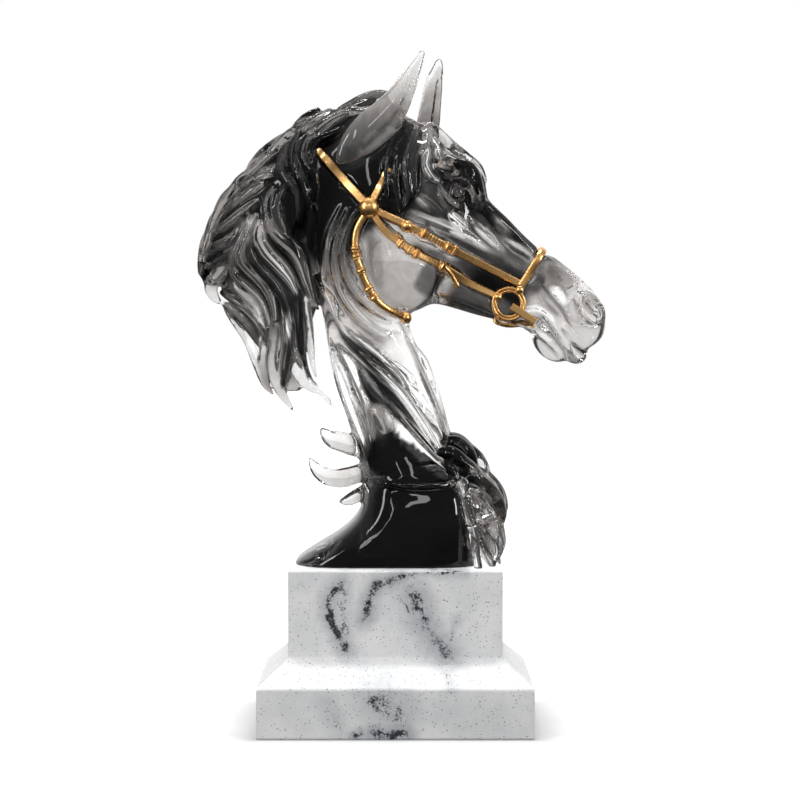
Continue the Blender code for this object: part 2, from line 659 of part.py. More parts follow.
def nose_band(clay):
    """The band over the nose that joins the two sides."""
    low, high = np.array(NOSE_LOW), np.array(NOSE_HIGH)
    up = (high - low) / np.linalg.norm(high - low)
    middle = low + 0.42 * (high - low)
    path, out = [], []
    for turn in np.linspace(-124, 124, 13):
        a = math.radians(turn)
        ray = np.array([up[0] * math.cos(a), math.sin(a), up[1] * math.cos(a)])
        steps = np.linspace(0, 40, 160)
        probe = np.array([middle[0], 0, middle[1]]) + steps[:, None] * ray
        inside = clay.sample(probe) < 0
        path.append(probe[len(steps) - 1 - inside[::-1].argmax()] + ray * (STRAP_THICK / 2 - STRAP_SUNK + 0.6))
        out.append(ray)
    path = np.array(path)
    path[1:-1] = (path[:-2] + 2 * path[1:-1] + path[2:]) / 4
    return Strap(path, np.array(out), 4.6, 2.3)


def clear_bridle(clay, straps, balls, rings):
    for strap in straps[:-1]:
        strap.channel(clay)
    band = straps[-1].path
    strand(clay, band, np.full(len(band), 3.2), np.full(len(band), 3.2), 0.6, cut=True)
    for centre, radius, flat in balls:
        r = radius + CHANNEL_GAP
        blob(clay, centre, (r, r * flat + 0.2, r), blend=0.6, cut=True)
    for centre in rings:
        r = RING_RADIUS + RING_TUBE + CHANNEL_GAP
        blob(clay, centre, (r + 0.8, RING_TUBE + CHANNEL_GAP + 0.6, r + 0.8), blend=0.6, cut=True)


def piece(name, points, faces, colour, roughness, metallic=0.0, smooth=True):
    """An object from points in millimetres, with its own material."""
    mesh = bpy.data.meshes.new(name)
    mesh.from_pydata((np.asarray(points) * MM).tolist(), [], [list(map(int, f)) for f in faces])
    mesh.validate()
    mesh.shade_smooth() if smooth else mesh.shade_flat()
    thing = bpy.data.objects.new(name, mesh)
    bpy.context.scene.collection.objects.link(thing)
    material = bpy.data.materials.new(name)
    material.use_nodes = True
    shader = material.node_tree.nodes["Principled BSDF"]
    shader.inputs["Base Color"].default_value = (*colour, 1)
    shader.inputs["Roughness"].default_value = roughness
    shader.inputs["Metallic"].default_value = metallic
    mesh.materials.append(material)
    return thing


def plinth():
    """Slab, sloped ledge and block, as one casting."""
    block_long, block_deep = SLAB_LONG - 2 * LEDGE_RUN, SLAB_DEEP - 2 * LEDGE_RUN
    levels = (
        (0, SLAB_LONG, SLAB_DEEP),
        (SLAB_TALL, SLAB_LONG, SLAB_DEEP),
        (SLAB_TALL + LEDGE_RISE, block_long, block_deep),
        (PLINTH_TALL, block_long, block_deep),
    )
    points, faces = [], [(3, 2, 1, 0)]
    for z, long, deep in levels:
        points += [(sx * long / 2, sy * deep / 2, z) for sx, sy in ((-1, -1), (1, -1), (1, 1), (-1, 1))]
    for level in range(3):
        for k in range(4):
            a, b = 4 * level + k, 4 * level + (k + 1) % 4
            faces.append((a, b, b + 4, a + 4))
    faces.append((12, 13, 14, 15))
    thing = piece("plinth", points, faces, (0.72, 0.72, 0.72), 0.45, smooth=False)
    edge = thing.modifiers.new("edges", "BEVEL")
    edge.width = PLINTH_BEVEL * MM
    edge.segments = 2
    return thing


def placed(points):
    """Drawn millimetres to the bust's own size, standing on the plinth."""
    return np.asarray(points) * SCALE + np.array([0, 0, PLINTH_TALL + GAP])


def main():
    for thing in list(bpy.data.objects):
        bpy.data.objects.remove(thing, do_unlink=True)
    plinth()
    points, quads, (straps, balls, rings) = sculpt(CELL)
    bust = piece("horse_bust", placed(points), quads, (0.05, 0.05, 0.055), 0.06)
    facets = bust.modifiers.new("facets", "DECIMATE")
    facets.ratio = BUST_TRIANGLES / (2 * len(quads))
    sides, band = Shells(), Shells()
    for strap in straps[:-1]:
        sides.strap(strap)
    for centre, radius, flat in balls:
        big = radius == BALL_RADIUS
        sides.ball(centre, radius, flat, 10 if big else 6, 5 if big else 3)
    for centre in rings:
        sides.ring(centre, RING_RADIUS, RING_TUBE)
    band.strap(straps[-1])
    bridle = piece("bridle", placed(sides.points), sides.faces, GILT, 0.28, 1.0)
    tool = piece("nose_band", placed(band.points), band.faces, GILT, 0.28, 1.0)
    tool.hide_render = True
    tool.display_type = "WIRE"
    join = bridle.modifiers.new("one_casting", "BOOLEAN")
    join.operation = "UNION"
    join.solver = "EXACT"
    join.use_self = True
    join.object = tool
    flat = bridle.modifiers.new("flat_faces", "DECIMATE")
    flat.decimate_type = "DISSOLVE"
    flat.angle_limit = math.radians(1.5)


main()
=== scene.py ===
"""Looks for the horse head figurine: smoky resin with combed locks, a gilt bridle and a marbled plinth.

The resin is sculpted as clay, a grid of signed distances in millimetres, by the same hand as the
solid it stands for but finer, with every lock grooved and a measure of the ink cast into it.
The horse looks along +X and the camera along +Y.
"""

import functools
import math

import bpy
import numpy as np
from mathutils import Matrix, Vector


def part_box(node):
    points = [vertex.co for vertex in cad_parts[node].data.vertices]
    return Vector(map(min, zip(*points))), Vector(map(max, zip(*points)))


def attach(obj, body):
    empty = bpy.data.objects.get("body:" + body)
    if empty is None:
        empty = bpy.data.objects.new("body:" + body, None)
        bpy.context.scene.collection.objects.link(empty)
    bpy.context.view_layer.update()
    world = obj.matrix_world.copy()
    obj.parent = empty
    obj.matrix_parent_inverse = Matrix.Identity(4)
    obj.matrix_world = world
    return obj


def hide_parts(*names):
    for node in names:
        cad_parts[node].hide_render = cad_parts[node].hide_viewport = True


bl_info = {
    "name": "Resin Horse Head",
    "version": (1, 0, 0),
    "blender": (4, 5, 0),
    "location": "View3D > Sidebar > Horse Head",
    "description": "Builds the smoky resin bust, its gilt bridle, the marbled plinth and the studio",
    "category": "Object",
}

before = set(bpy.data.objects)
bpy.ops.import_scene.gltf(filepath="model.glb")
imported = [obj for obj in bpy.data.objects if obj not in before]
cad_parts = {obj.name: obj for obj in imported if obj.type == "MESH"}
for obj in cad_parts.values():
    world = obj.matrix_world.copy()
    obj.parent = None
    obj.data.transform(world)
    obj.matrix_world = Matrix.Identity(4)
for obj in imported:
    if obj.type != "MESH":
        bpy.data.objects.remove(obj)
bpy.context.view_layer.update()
MM = 0.001
PLINTH_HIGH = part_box("plinth")[1]
BUST_LOW, BUST_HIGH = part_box("horse_bust")

# The camera stands here, and every lamp points here, in metres
CAMERA_AT = (0.0024, -1.426, 0.2286)
LIT_POINT = (0, 0, 0.2)

# The clay is drawn at this height and scaled to the bust that the frame holds
DRAWN_TALL = 274.0
SCALE = (BUST_HIGH.z - BUST_LOW.z) / MM / DRAWN_TALL
CLAY_LOW = (-112, -45)
CLAY_HIGH = (117, 45, 280)
# The distance that empty clay starts from, and two corners outside any grid
FAR = 50.0
WHOLE = (-1e4,) * 3, (1e4,) * 3
# How softly a lock's ink ends, and how far the side view's steps are calmed before locks are laid on it
INK_EDGE = 0.8
SKIN_CALM = 8
# Points along a lock, its least half-width, the depth of its grooves and the ink above which it is inked
LOCK_POINTS = 20
LOCK_LEAST = 0.3
LOCK_GROOVE = 0.42
LOCK_INKED = 0.25
# How fast a lock's grooves wander across it, and the share of its width below which it has none
COMB_DRIFT = 0.12
COMB_FROM = 0.25

# Fittings of the bridle, in the drawn bust's millimetres
STRAP_THICK = 1.9
STRAP_SUNK = 0.3
FLAT = 0.0
BALL_RADIUS = 5.5
BEAD_RADIUS = 3.1
TIP_RADIUS = 3.2
STUD_RADIUS = 2.3
RING_RADIUS = 7.9
RING_TUBE = 1.5
# The two wires of a bit ring: how far each lies outside the ring's radius, and its own radius
RING_WIRES = ((0.5, 0.95), (-1.1, 0.8))
CHANNEL_GAP = 0.85

# The head is drawn along the nose (u) and up from it (v), from a point at the poll
POLL = (10.6, 233.4)
NOSE = (0.738, -0.674)
CREST = (0.674, 0.738)
# The rest of the body is drawn up from the ground
UPRIGHT = ((0, 0), (0, 1), (1, 0))


def through(knots, count):
    """Points evenly spaced along the smooth curve through the knots."""
    knots = np.asarray(knots, float)
    ends = np.vstack([2 * knots[0] - knots[1], knots, 2 * knots[-1] - knots[-2]])
    along = np.linspace(0, len(knots) - 1, 8 * count)
    first = np.minimum(along.astype(int), len(knots) - 2)
    f = (along - first)[:, None]
    a, b, c, d = (ends[first + k] for k in range(4))
    bend, twist = 2 * a - 5 * b + 4 * c - d, 3 * b - 3 * c + d - a
    fine = 0.5 * (2 * b + (c - a) * f + bend * f**2 + twist * f**3)
    steps = np.linalg.norm(np.diff(fine, axis=0), axis=1)
    length = np.concatenate([[0], np.cumsum(steps)])
    even = np.linspace(0, length[-1], count)
    return np.column_stack([np.interp(even, length, line) for line in fine.T])


def smooth_min(a, b, blend):
    """The smaller of two distances, with the join between them rounded."""
    h = np.clip(0.5 + 0.5 * (b - a) / blend, 0, 1)
    return b + (a - b) * h - blend * h * (1 - h)


def on_head(u, v):
    """A point of the side view, (x, z), from its place in the head's own frame."""
    return (POLL[0] + NOSE[0] * u + CREST[0] * v, POLL[1] + NOSE[1] * u + CREST[1] * v)


class Clay:
    """Signed distances on a grid, negative inside, with the ink of each lock and how far it covers."""

    def __init__(self, low, high, cell):
        self.cell = cell
        self.axes = [np.arange(a, b, cell) for a, b in zip(low, high)]
        self.value = np.full([len(axis) for axis in self.axes], FAR, np.float32)
        self.ink = np.zeros_like(self.value)
        self.cover = np.zeros_like(self.value)

    def window(self, low, high):
        """The slices and the coordinates of the grid between two corners."""
        ends = [np.searchsorted(axis, (a, b)) for axis, a, b in zip(self.axes, low, high)]
        cut = tuple(slice(*pair) for pair in ends)
        x, y, z = (axis[part].astype(np.float32) for axis, part in zip(self.axes, cut))
        return cut, x[:, None, None], y[None, :, None], z[None, None, :]

    def merge(self, cut, shape, blend, ink=None):
        """Adds a shape, with its ink where it stands proud of what was there."""
        if ink is not None:
            self.stain(cut, np.clip(0.5 + (self.value[cut] - shape) / max(blend, INK_EDGE), 0, 1), ink)
        self.value[cut] = smooth_min(self.value[cut], shape, blend)

    def carve(self, cut, shape, blend, ink=None):
        """Takes a shape away, with its ink on the walls that it leaves."""
        if ink is not None:
            self.stain(cut, np.clip(1 - shape / INK_EDGE, 0, 1), ink)
        self.value[cut] = -smooth_min(-self.value[cut], shape, blend)

    def stain(self, cut, share, ink):
        """Draws the ink towards a new one by some share."""
        self.ink[cut] += share * (ink - self.ink[cut])
        self.cover[cut] += share * (1 - self.cover[cut])

    def skin(self, side):
        """How far the surface stands from the middle plane on one side, over the side view."""
        inside = self.value < 0
        y = self.axes[1]
        if side < 0:
            first = inside.argmax(axis=1)
        else:
            first = len(y) - 1 - inside[:, ::-1].argmax(axis=1)
        tall = np.where(inside.any(axis=1), np.abs(y[first]), 0.0)
        for _ in range(round(SKIN_CALM / self.cell**2)):
            tall[1:-1, 1:-1] = (
                2 * tall[1:-1, 1:-1] + tall[:-2, 1:-1] + tall[2:, 1:-1] + tall[1:-1, :-2] + tall[1:-1, 2:]
            ) / 6
        return tall

    def read(self, grid, points, every=1):
        """A grid's value at each of some points, read between the grid's own."""
        place = [(points[:, n] - self.axes[n][0]) / (self.cell * every) for n in range(3)]
        first = [np.clip(p.astype(int), 0, count - 2) for p, count in zip(place, grid.shape)]
        share = [p - f for p, f in zip(place, first)]
        total = np.zeros(len(points))
        for corner in np.ndindex(2, 2, 2):
            weight = np.ones(len(points))
            for f, c in zip(share, corner):
                weight *= f if c else 1 - f
            total += weight * grid[tuple(f + c for f, c in zip(first, corner))]
        return total

    def relief(self, points, every=2, reach=3, rounds=4):
        """How far each point lies in a hollow (below 0) or on a ridge (above 0), in millimetres."""
        coarse = blurred(np.clip(self.value[::every, ::every, ::every], -reach, reach), rounds)
        return self.read(coarse, points, every)

    def slopes(self, points, step):
        """The direction in which the distance grows fastest at each point."""
        lines = []
        for n in range(3):
            move = np.zeros(3)
            move[n] = step
            lines.append(self.read(self.value, points + move) - self.read(self.value, points - move))
        out = np.column_stack(lines)
        return out / np.maximum(np.linalg.norm(out, axis=1), 1e-6)[:, None]

    def look_up(self, flat, x, z):
        """A side-view map read between its grid points."""
        i = np.clip((np.asarray(x) - self.axes[0][0]) / self.cell, 0, flat.shape[0] - 1.001)
        k = np.clip((np.asarray(z) - self.axes[2][0]) / self.cell, 0, flat.shape[1] - 1.001)
        i0, k0 = i.astype(int), k.astype(int)
        right, up = i - i0, k - k0
        low = flat[i0, k0] * (1 - right) + flat[i0 + 1, k0] * right
        high = flat[i0, k0 + 1] * (1 - right) + flat[i0 + 1, k0 + 1] * right
        return low * (1 - up) + high * up


def blurred(grid, rounds):
    """Each value drawn towards its neighbours along every axis."""
    for _ in range(rounds):
        for axis in range(3):
            grid = np.moveaxis(grid, axis, 0).copy()
            grid[1:-1] = 0.25 * grid[:-2] + 0.5 * grid[1:-1] + 0.25 * grid[2:]
            grid = np.moveaxis(grid, 0, axis)
    return grid


def blob(clay, centre, radii, turn=0.0, blend=3.0, cut=False):
    """An ellipsoid at (x, y, z); radii are along `turn` (degrees up from +X), across the view and up."""
    reach = max(radii) + 2 * blend + 3
    cells, x, y, z = clay.window(*[[c + s * reach for c in centre] for s in (-1, 1)])
    c, s = math.cos(math.radians(turn)), math.sin(math.radians(turn))
    dx, dy, dz = x - centre[0], y - centre[1], z - centre[2]
    along, up = c * dx + s * dz, c * dz - s * dx
    a, b, e = radii
    near = np.sqrt((along / a) ** 2 + (dy / b) ** 2 + (up / e) ** 2)
    steep = np.sqrt((along / a**2) ** 2 + (dy / b**2) ** 2 + (up / e**2) ** 2)
    shape = near * (near - 1) / np.maximum(steep, 1e-4)
    (clay.carve if cut else clay.merge)(cells, shape, blend)


def loft(clay, stations, lie, blend=3.0, power=2.4, round_ends=3.0):
    """A body along one line of the side view. A station is (place, low, high, half-width).

    lie is the line's start, its direction and the direction across it."""
    at = through(stations, 60)
    order = np.argsort(at[:, 0])
    at = at[order]
    (ox, oz), (sx, sz), (cx, cz) = lie
    cells, x, y, z = clay.window(*WHOLE)
    dx, dz = x - ox, z - oz
    s, c = sx * dx + sz * dz, cx * dx + cz * dz
    low, high, wide = (np.interp(s, at[:, 0], at[:, k]).astype(np.float32) for k in (1, 2, 3))
    half = (high - low) / 2
    p = np.abs(c - (high + low) / 2) / half
    q = np.abs(y) / wide
    size = np.maximum((p**power + q**power) ** (1 / power), 1e-3)
    steep = size ** (1 - power) * np.sqrt((p ** (power - 1) / half) ** 2 + (q ** (power - 1) / wide) ** 2)
    side = (size - 1) / np.maximum(steep, 1e-3)
    ends = np.maximum(s - at[-1, 0], at[0, 0] - s)
    clay.merge(cells, -smooth_min(-side, -ends, round_ends), blend)


def strand(clay, path, wide, deep, blend=1.0, cut=False, ridges=0, groove=0.0, phase=0.0, ink=None):
    """A lock or a groove along path (N, 3), oval: half-widths in the side view and across it.

    A combed lock has some ridges over its width; ink is how dark it is at the root and the tip."""
    margin = 2 * blend + 2
    reach = np.maximum(wide, deep).max() + margin
    cells, x, y, z = clay.window(path.min(axis=0) - reach, path.max(axis=0) + reach)
    corner = [part.start for part in cells]
    local = np.full([part.stop - part.start for part in cells], FAR, np.float32)
    shade = np.zeros_like(local) if ink else None
    turn = np.gradient(path[:, [0, 2]], axis=0)
    turn /= np.maximum(np.linalg.norm(turn, axis=1), 1e-6)[:, None]
    last = len(path) - 1
    for i in range(last):
        a, b = path[i], path[i + 1]
        near = max(wide[i], wide[i + 1], deep[i], deep[i + 1]) + margin
        box, px, py, pz = clay.window(np.minimum(a, b) - near, np.maximum(a, b) + near)
        box = tuple(slice(part.start - o, part.stop - o) for part, o in zip(box, corner))
        run = b - a
        f = ((px - a[0]) * run[0] + (py - a[1]) * run[1] + (pz - a[2]) * run[2]) / max(run @ run, 1e-6)
        f = np.clip(f, 0, 1)
        dx, dy, dz = px - a[0] - f * run[0], py - a[1] - f * run[1], pz - a[2] - f * run[2]
        w, d = wide[i] + f * (wide[i + 1] - wide[i]), deep[i] + f * (deep[i + 1] - deep[i])
        flat, across = dx * dx + dz * dz, dy * dy
        size = np.sqrt(flat / w**2 + across / d**2)
        steep = np.sqrt(flat / w**4 + across / d**4)
        shape = size * (size - 1) / np.maximum(steep, 1e-4)
        if ridges:
            tx = turn[i, 0] + f * (turn[i + 1, 0] - turn[i, 0])
            tz = turn[i, 1] + f * (turn[i + 1, 1] - turn[i, 1])
            over = (dz * tx - dx * tz) / w
            comb = np.cos(math.pi * ridges * over + phase + COMB_DRIFT * (i + f))
            grown = np.clip(w / wide.max() - COMB_FROM, 0, 1 - COMB_FROM)
            shape = shape + groove * grown * (0.5 - 0.5 * comb)
        better = shape < local[box]
        local[box] = np.where(better, shape, local[box])
        if ink:
            shade[box] = np.where(better, ink[0] + (ink[1] - ink[0]) * (i + f) / last, shade[box])
    if cut:
        clay.carve(cells, local, blend, shade)
    else:
        clay.merge(cells, local, blend, shade)


# How a lock and a fold swell and thin out: (place along it, share of the half-width)
TAPER = ((0, 0.55), (0.12, 0.9), (0.35, 1.0), (0.6, 0.9), (0.8, 0.62), (0.93, 0.3), (1, 0.1))
SPINDLE = ((0, 0.15), (0.15, 0.6), (0.4, 1.0), (0.65, 0.9), (0.85, 0.5), (1, 0.12))


def tapered(count, shape):
    """Sizes along a lock, from the (place, size) pairs of its shape."""
    places, sizes = zip(*shape)
    return np.interp(np.linspace(0, 1, count), places, sizes)


def lay(clay, skin, side, knots, sink, count=LOCK_POINTS):
    """A side-view route laid on the surface, sunk by `sink`."""
    flat = through(knots, count)
    tall = clay.look_up(skin, flat[:, 0], flat[:, 1])
    for _ in range(5):
        tall[1:-1] = (tall[:-2] + 2 * tall[1:-1] + tall[2:]) / 4
    return np.column_stack([flat[:, 0], side * np.maximum(tall - sink, 0), flat[:, 1]])


# The mane's locks, from back to front: route over the side view, half-width, how far it stands proud,
# its ridges, and how dark its ink is at the root and the tip
LOCKS = (
    (((-53, 231), (-62, 226), (-70.5, 220), (-77, 213.5), (-81, 208)), 2.9, -0.5, 2, (0.55, 0.4)),
    (((-56.5, 225), (-65, 219.5), (-73, 214), (-79.5, 208.5)), 2.7, 0.3, 1, (0.5, 0.35)),
    (((-59.5, 218.5), (-67, 214), (-74, 210), (-80, 206.5)), 2.1, 0.6, 1, (0.7, 0.5)),
    (((-62, 213), (-71.5, 208), (-80, 204.5), (-86.5, 200), (-90.5, 195.5)), 2.7, 0.4, 2, (0.5, 0.2)),
    (((-66, 208), (-74.5, 204), (-82.5, 199.5), (-89.5, 193), (-96, 185.5),
     (-100.5, 178)), 2.5, 0.8, 1, (0.4, 0.25)),
    (((-71.5, 202), (-80, 196), (-88, 189.5), (-95.5, 183.5), (-100.5, 177),
     (-101.5, 173)), 3.2, 1.0, 2, (0.45, 0.35)),
    (((-74, 193), (-81.5, 187), (-89, 181.5), (-96, 176.5), (-100.5, 170.5)), 3.0, 1.4, 2, (0.5, 0.4)),
    (((-80, 181.5), (-87.5, 173), (-95.5, 169), (-102, 165), (-104.5, 159),
     (-103, 151.5)), 3.0, 1.2, 1, (0.6, 0.6)),
    (((-90.5, 159), (-95, 154), (-99, 148.5), (-97.5, 143), (-93, 138.5)), 3.8, 1.0, 1, (0.3, 0.04)),
    (((-81.5, 176), (-87.5, 166.5), (-94.5, 160.5), (-100, 157.5), (-102, 151.5),
     (-100.5, 146)), 2.7, 2.0, 1, (0.7, 0.65)),
    (((-92, 139.5), (-87.5, 131.5), (-82, 123.5), (-78, 115.5), (-74.5, 106.5)), 2.1, 0.6, 0, (0.2, 0.15)),
    (((-80, 121.5), (-76.5, 113), (-73, 103.5), (-70, 95.5), (-65, 89.5)), 2.5, 0.6, 0, (0.1, 0.25)),
    (((-54.5, 113), (-53, 105), (-50, 98.5), (-44.5, 94), (-39.5, 91.5),
     (-34, 83.5)), 2.9, 0.6, 0, (0.1, 0.04)),
    (((-47.5, 141.5), (-46.5, 131.5), (-45.5, 118), (-44.5, 106.5),
     (-41.5, 95.5)), 1.9, 1.0, 0, (0.2, 0.15)),
    (((-84.5, 148), (-79, 144), (-74, 138.5), (-71.5, 132), (-69.5, 125.5)), 3.3, 1.4, 0, (0.15, 0.1)),
    (((-89.5, 138), (-84, 133.5), (-78.5, 127.5), (-74, 120), (-71, 113)), 3.2, 1.6, 0, (0.5, 0.55)),
    (((-93, 145), (-85.5, 140.5), (-79, 136), (-74, 130), (-70.5, 123),
     (-68, 116)), 2.4, 2.2, 0, (0.6, 0.5)),
    (((-70.5, 121), (-70.5, 111.5), (-71, 104), (-69.5, 96.5), (-66, 91.5)), 2.5, 1.2, 0, (0.15, 0.45)),
    (((-63.5, 126), (-64.5, 116.5), (-65.5, 107.5), (-64.5, 99), (-61.5, 91.5), (-56.5, 84),
     (-54.5, 80)), 3.3, 1.4, 1, (0.35, 0.1)),
    (((-59.5, 139.5), (-57.5, 130), (-57, 121), (-57.5, 113)), 1.9, 2.2, 0, (0.1, 0.1)),
    (((-55.5, 129), (-56, 118), (-57.5, 108.5), (-59, 100), (-61.5, 92.5)), 2.1, 2.0, 0, (0.75, 0.7)),
    (((-51.5, 145), (-50.5, 133), (-50, 121), (-49.5, 110), (-47, 101), (-42.5, 94.5),
     (-39.5, 92.5)), 2.1, 2.0, 1, (0.85, 0.6)),
    (((-75.5, 174.5), (-77.5, 167.5), (-74.5, 161), (-69.5, 155), (-64, 148.5), (-59.5, 140.5),
     (-58, 132), (-59, 124.5)), 2.5, 2.8, 0, (0.7, 0.8)),
    (((-71, 181.5), (-71.5, 173), (-68, 166), (-62, 159.5), (-56, 152),
     (-52.5, 144)), 3.5, 2.4, 1, (0.4, 0.08)),
    (((-58.5, 174), (-52.5, 167.5), (-49.5, 159.5), (-47, 150.5), (-44, 141),
     (-40, 133)), 2.5, 2.8, 1, (0.6, 0.45)),
    (((-49, 172), (-44.5, 163), (-41.5, 154.5), (-37.5, 146), (-34, 138.5),
     (-30.5, 129)), 2.4, 3.0, 1, (0.8, 0.1)),
    (((-73.5, 186), (-77, 177.5), (-80.5, 169.5), (-82, 163), (-78.5, 157.5), (-72.5, 151.5),
     (-67.5, 144.5), (-65, 136.5), (-64.5, 128), (-66, 119)), 2.6, 3.0, 1, (0.5, 0.4)),
    (((-77, 185.5), (-81, 176), (-84.5, 167.5), (-86.5, 160), (-85, 153.5), (-79.5, 148),
     (-73.5, 142.5), (-69.5, 135), (-67.5, 126), (-67, 117.5)), 2.4, 2.8, 1, (0.6, 0.45)),
    (((-68, 187), (-66.5, 178.5), (-61.5, 172.5), (-55.5, 167), (-51, 160), (-48, 151),
     (-45, 141.5)), 2.7, 3.6, 1, (0.5, 0.3)),
    (((-65, 199.5), (-68, 192), (-67, 184.5), (-63, 177.5), (-58.5, 172)), 2.7, 3.0, 0, (0.55, 0.6)),
    (((-59.5, 200.5), (-62.5, 193), (-62.5, 185), (-59.5, 178), (-57.5, 172)), 2.7, 2.6, 0, (0.7, 0.65)),
    (((-43.5, 190.5), (-44.5, 180), (-44.5, 169), (-43, 160), (-40, 150.5)), 2.8, 2.6, 0, (0.9, 0.9)),
    (((-5, 251.5), (-12.5, 250.5), (-19.5, 248), (-26, 245), (-32, 243)), 2.5, 0.0, 1, (0.55, 0.5)),
    (((-11.5, 247), (-18.5, 244.5), (-24.5, 241.5), (-29.5, 237)), 2.6, 1.5, 1, (0.7, 0.6)),
    (((-41.5, 242), (-48, 238), (-52.5, 232.5), (-56, 226), (-58, 220), (-60, 214.5), (-60, 209.5),
     (-56.5, 204), (-53, 198.5), (-52, 191.5), (-52.5, 184.5), (-54, 177),
     (-55, 170.5)), 3.2, 3.4, 2, (0.45, 0.85)),
    (((-35, 241.5), (-41.5, 237), (-47, 232), (-51, 225.5), (-53, 219), (-52.5, 212), (-50.5, 205.5),
     (-48, 198.5), (-48, 190.5), (-49.5, 183.5), (-50, 174.5)), 3.3, 4.2, 2, (0.45, 0.9)),
    (((-28.5, 239.5), (-35, 236), (-41.5, 230.5), (-47, 224.5), (-48.5, 217.5), (-45.5, 210.5),
     (-42.5, 204), (-42.5, 196), (-43, 190.5), (-40.5, 187)), 3.4, 5.0, 1, (0.35, 0.85)),
    (((-27.5, 232), (-33, 228.5), (-39.5, 225.5), (-43.5, 221), (-44, 215.5), (-41.5, 209.5),
     (-40.5, 204)), 2.5, 5.4, 1, (0.7, 0.9)),
)
FORELOCKS = (
    (((18.5, 235.5), (24.5, 230), (30, 224.5), (34.5, 221), (39.5, 217), (45, 212), (48, 205),
     (49.5, 198.5)), 2.1, 0.2, 1, (0.3, 0.1)),
    (((15.5, 235), (22, 230.5), (27, 226), (30.5, 220), (36, 217), (41, 213.5)), 2.5, 0.2, 1, (0.3, 0.3)),
    (((16.5, 234), (19.5, 227.5), (22, 221), (23.5, 214.5)), 2.4, 0.8, 1, (0.15, 0.4)),
    (((13, 235), (16.5, 229.5), (16, 223), (12.5, 218), (11, 214.5)), 2.5, 1.2, 1, (0.2, 0.1)),
    (((15.5, 224.5), (17.5, 219), (16.5, 212.5), (19, 207), (23, 203.5)), 1.7, 1.4, 0, (0.3, 0.05)),
    (((13, 225.5), (10.5, 217.5), (10, 208), (10.5, 199.5), (9, 194.5)), 2.3, 0.6, 0, (0.8, 0.9)),
    (((11, 233), (7.5, 223), (5.5, 213.5), (6.5, 204), (7.5, 195.5), (5, 189)), 2.7, 1.2, 1, (0.5, 0.95)),
    (((8, 234), (3.5, 224.5), (1, 214.5), (0, 205), (1.5, 195.5), (3, 185.5)), 2.8, 1.8, 1, (0.85, 0.95)),
    (((4.5, 236), (0.5, 225.5), (-3, 217), (-5, 208), (-4.5, 198.5), (-2.5, 190.5)), 2.8, 2.4, 1, (0.9, 1)),
)
# The face's forms and the grooves cut into it, in the same order
FACE_FOLDS = (
    (((4.5, 189), (14.5, 184.5), (25, 180.5), (36, 175.5), (45.5, 170),
     (54.5, 164)), 2.3, -0.8, 0, (0.24, 0.2)),
    (((38, 183.5), (45.5, 177), (52, 171), (57, 166)), 1.9, -0.6, 0, (0.2, 0.2)),
    (((55, 175.5), (62.5, 170), (70, 165.5), (75.5, 160)), 1.8, -0.6, 0, (0.22, 0.3)),
    (((2.5, 183.5), (16, 177.5), (29.5, 172), (42.5, 165.5), (53.5, 159)), 2.3, -2.0, 0, (0.8, 0.8)),
    (((10, 193.5), (18.5, 188), (27.5, 181.5)), 1.7, -1.0, 0, (0.85, 0.7)),
    (((8.5, 197), (16.5, 191.5), (24, 187)), 1.5, -0.7, 0, (0.3, 0.35)),
    (((45, 195), (55.5, 184), (65.5, 173), (76.5, 161.5)), 3.0, -2.2, 0, (0.75, 0.9)),
    (((49, 190), (56, 181.5), (63, 173)), 1.6, -0.7, 0, (0.3, 0.4)),
    (((12, 200.5), (18.5, 204), (26.5, 206.5), (33.5, 208), (40, 206), (44.5, 199.5),
     (46.5, 193)), 2.7, -1.0, 0, (0.9, 0.7)),
    (((18.5, 211.5), (27.5, 213), (34.5, 213.5), (41, 210.5), (45.5, 205), (47.5, 197.5),
     (51.5, 188)), 1.8, 0.6, 0, (0.25, 0.03)),
    (((28, 187), (32, 183), (37, 179.5)), 2.5, -0.2, 0, (0.1, 0.1)),
    (((40, 190.5), (45.5, 182.5), (53, 174)), 2.1, -1.2, 0, (0.7, 0.8)),
    (((79.5, 162), (84.5, 156), (90.5, 149)), 2.7, -1.6, 0, (0.7, 0.5)),
    (((79, 160), (76, 150.5), (72, 139.5)), 4.6, -3.2, 0, (0.62, 0.66)),
    (((74.5, 147), (82, 139.5), (88.5, 132.5), (94.5, 125.5)), 2.7, -1.4, 0, (0.5, 0.1)),
    (((84.5, 148), (87.5, 141.5), (92.5, 134)), 3.2, -1.0, 0, (0.12, 0.03)),
    (((69, 135), (75, 135.5), (81, 132), (86, 125.5), (91.5, 118), (97, 110.5)), 1.5, 0.4, 0, (0.12, 0.06)),
    (((84, 133), (89.5, 126.5), (95, 120.5), (101, 115.5)), 2.1, -0.2, 0, (0.24, 0.2)),
    (((71, 128), (77.5, 122.5), (83, 116), (88.5, 109.5)), 2.5, -0.6, 0, (0.2, 0.16)),
    (((97, 145.5), (93.5, 141), (92.5, 136.5), (94.5, 131.5), (99.5, 129.5)), 1.4, 0.3, 0, (0.3, 0.2)),
)
FACE_GROOVES = (
    (((94.5, 141), (97, 137.5), (99, 133), (101.5, 128.5)), 0.9, 0.4, 0, (0.5, 0.4)),
    (((68.5, 133), (74.5, 132.5), (79.5, 129.5), (84, 122.5), (88.5, 115.5),
     (92.5, 109)), 0.8, 0.3, 0, (0.4, 0.3)),
    (((93.5, 118.5), (98, 114.5), (103.5, 110.5)), 1.0, 0.6, 0, (0.6, 0.5)),
    (((73.5, 123.5), (78, 119), (83, 114.5), (87, 110.5)), 0.7, 0.2, 0, (0.3, 0.5)),
    (((76, 151), (82, 143.5), (88.5, 135.5), (93.5, 126)), 0.7, 0.2, 0, (0.6, 0.4)),
)

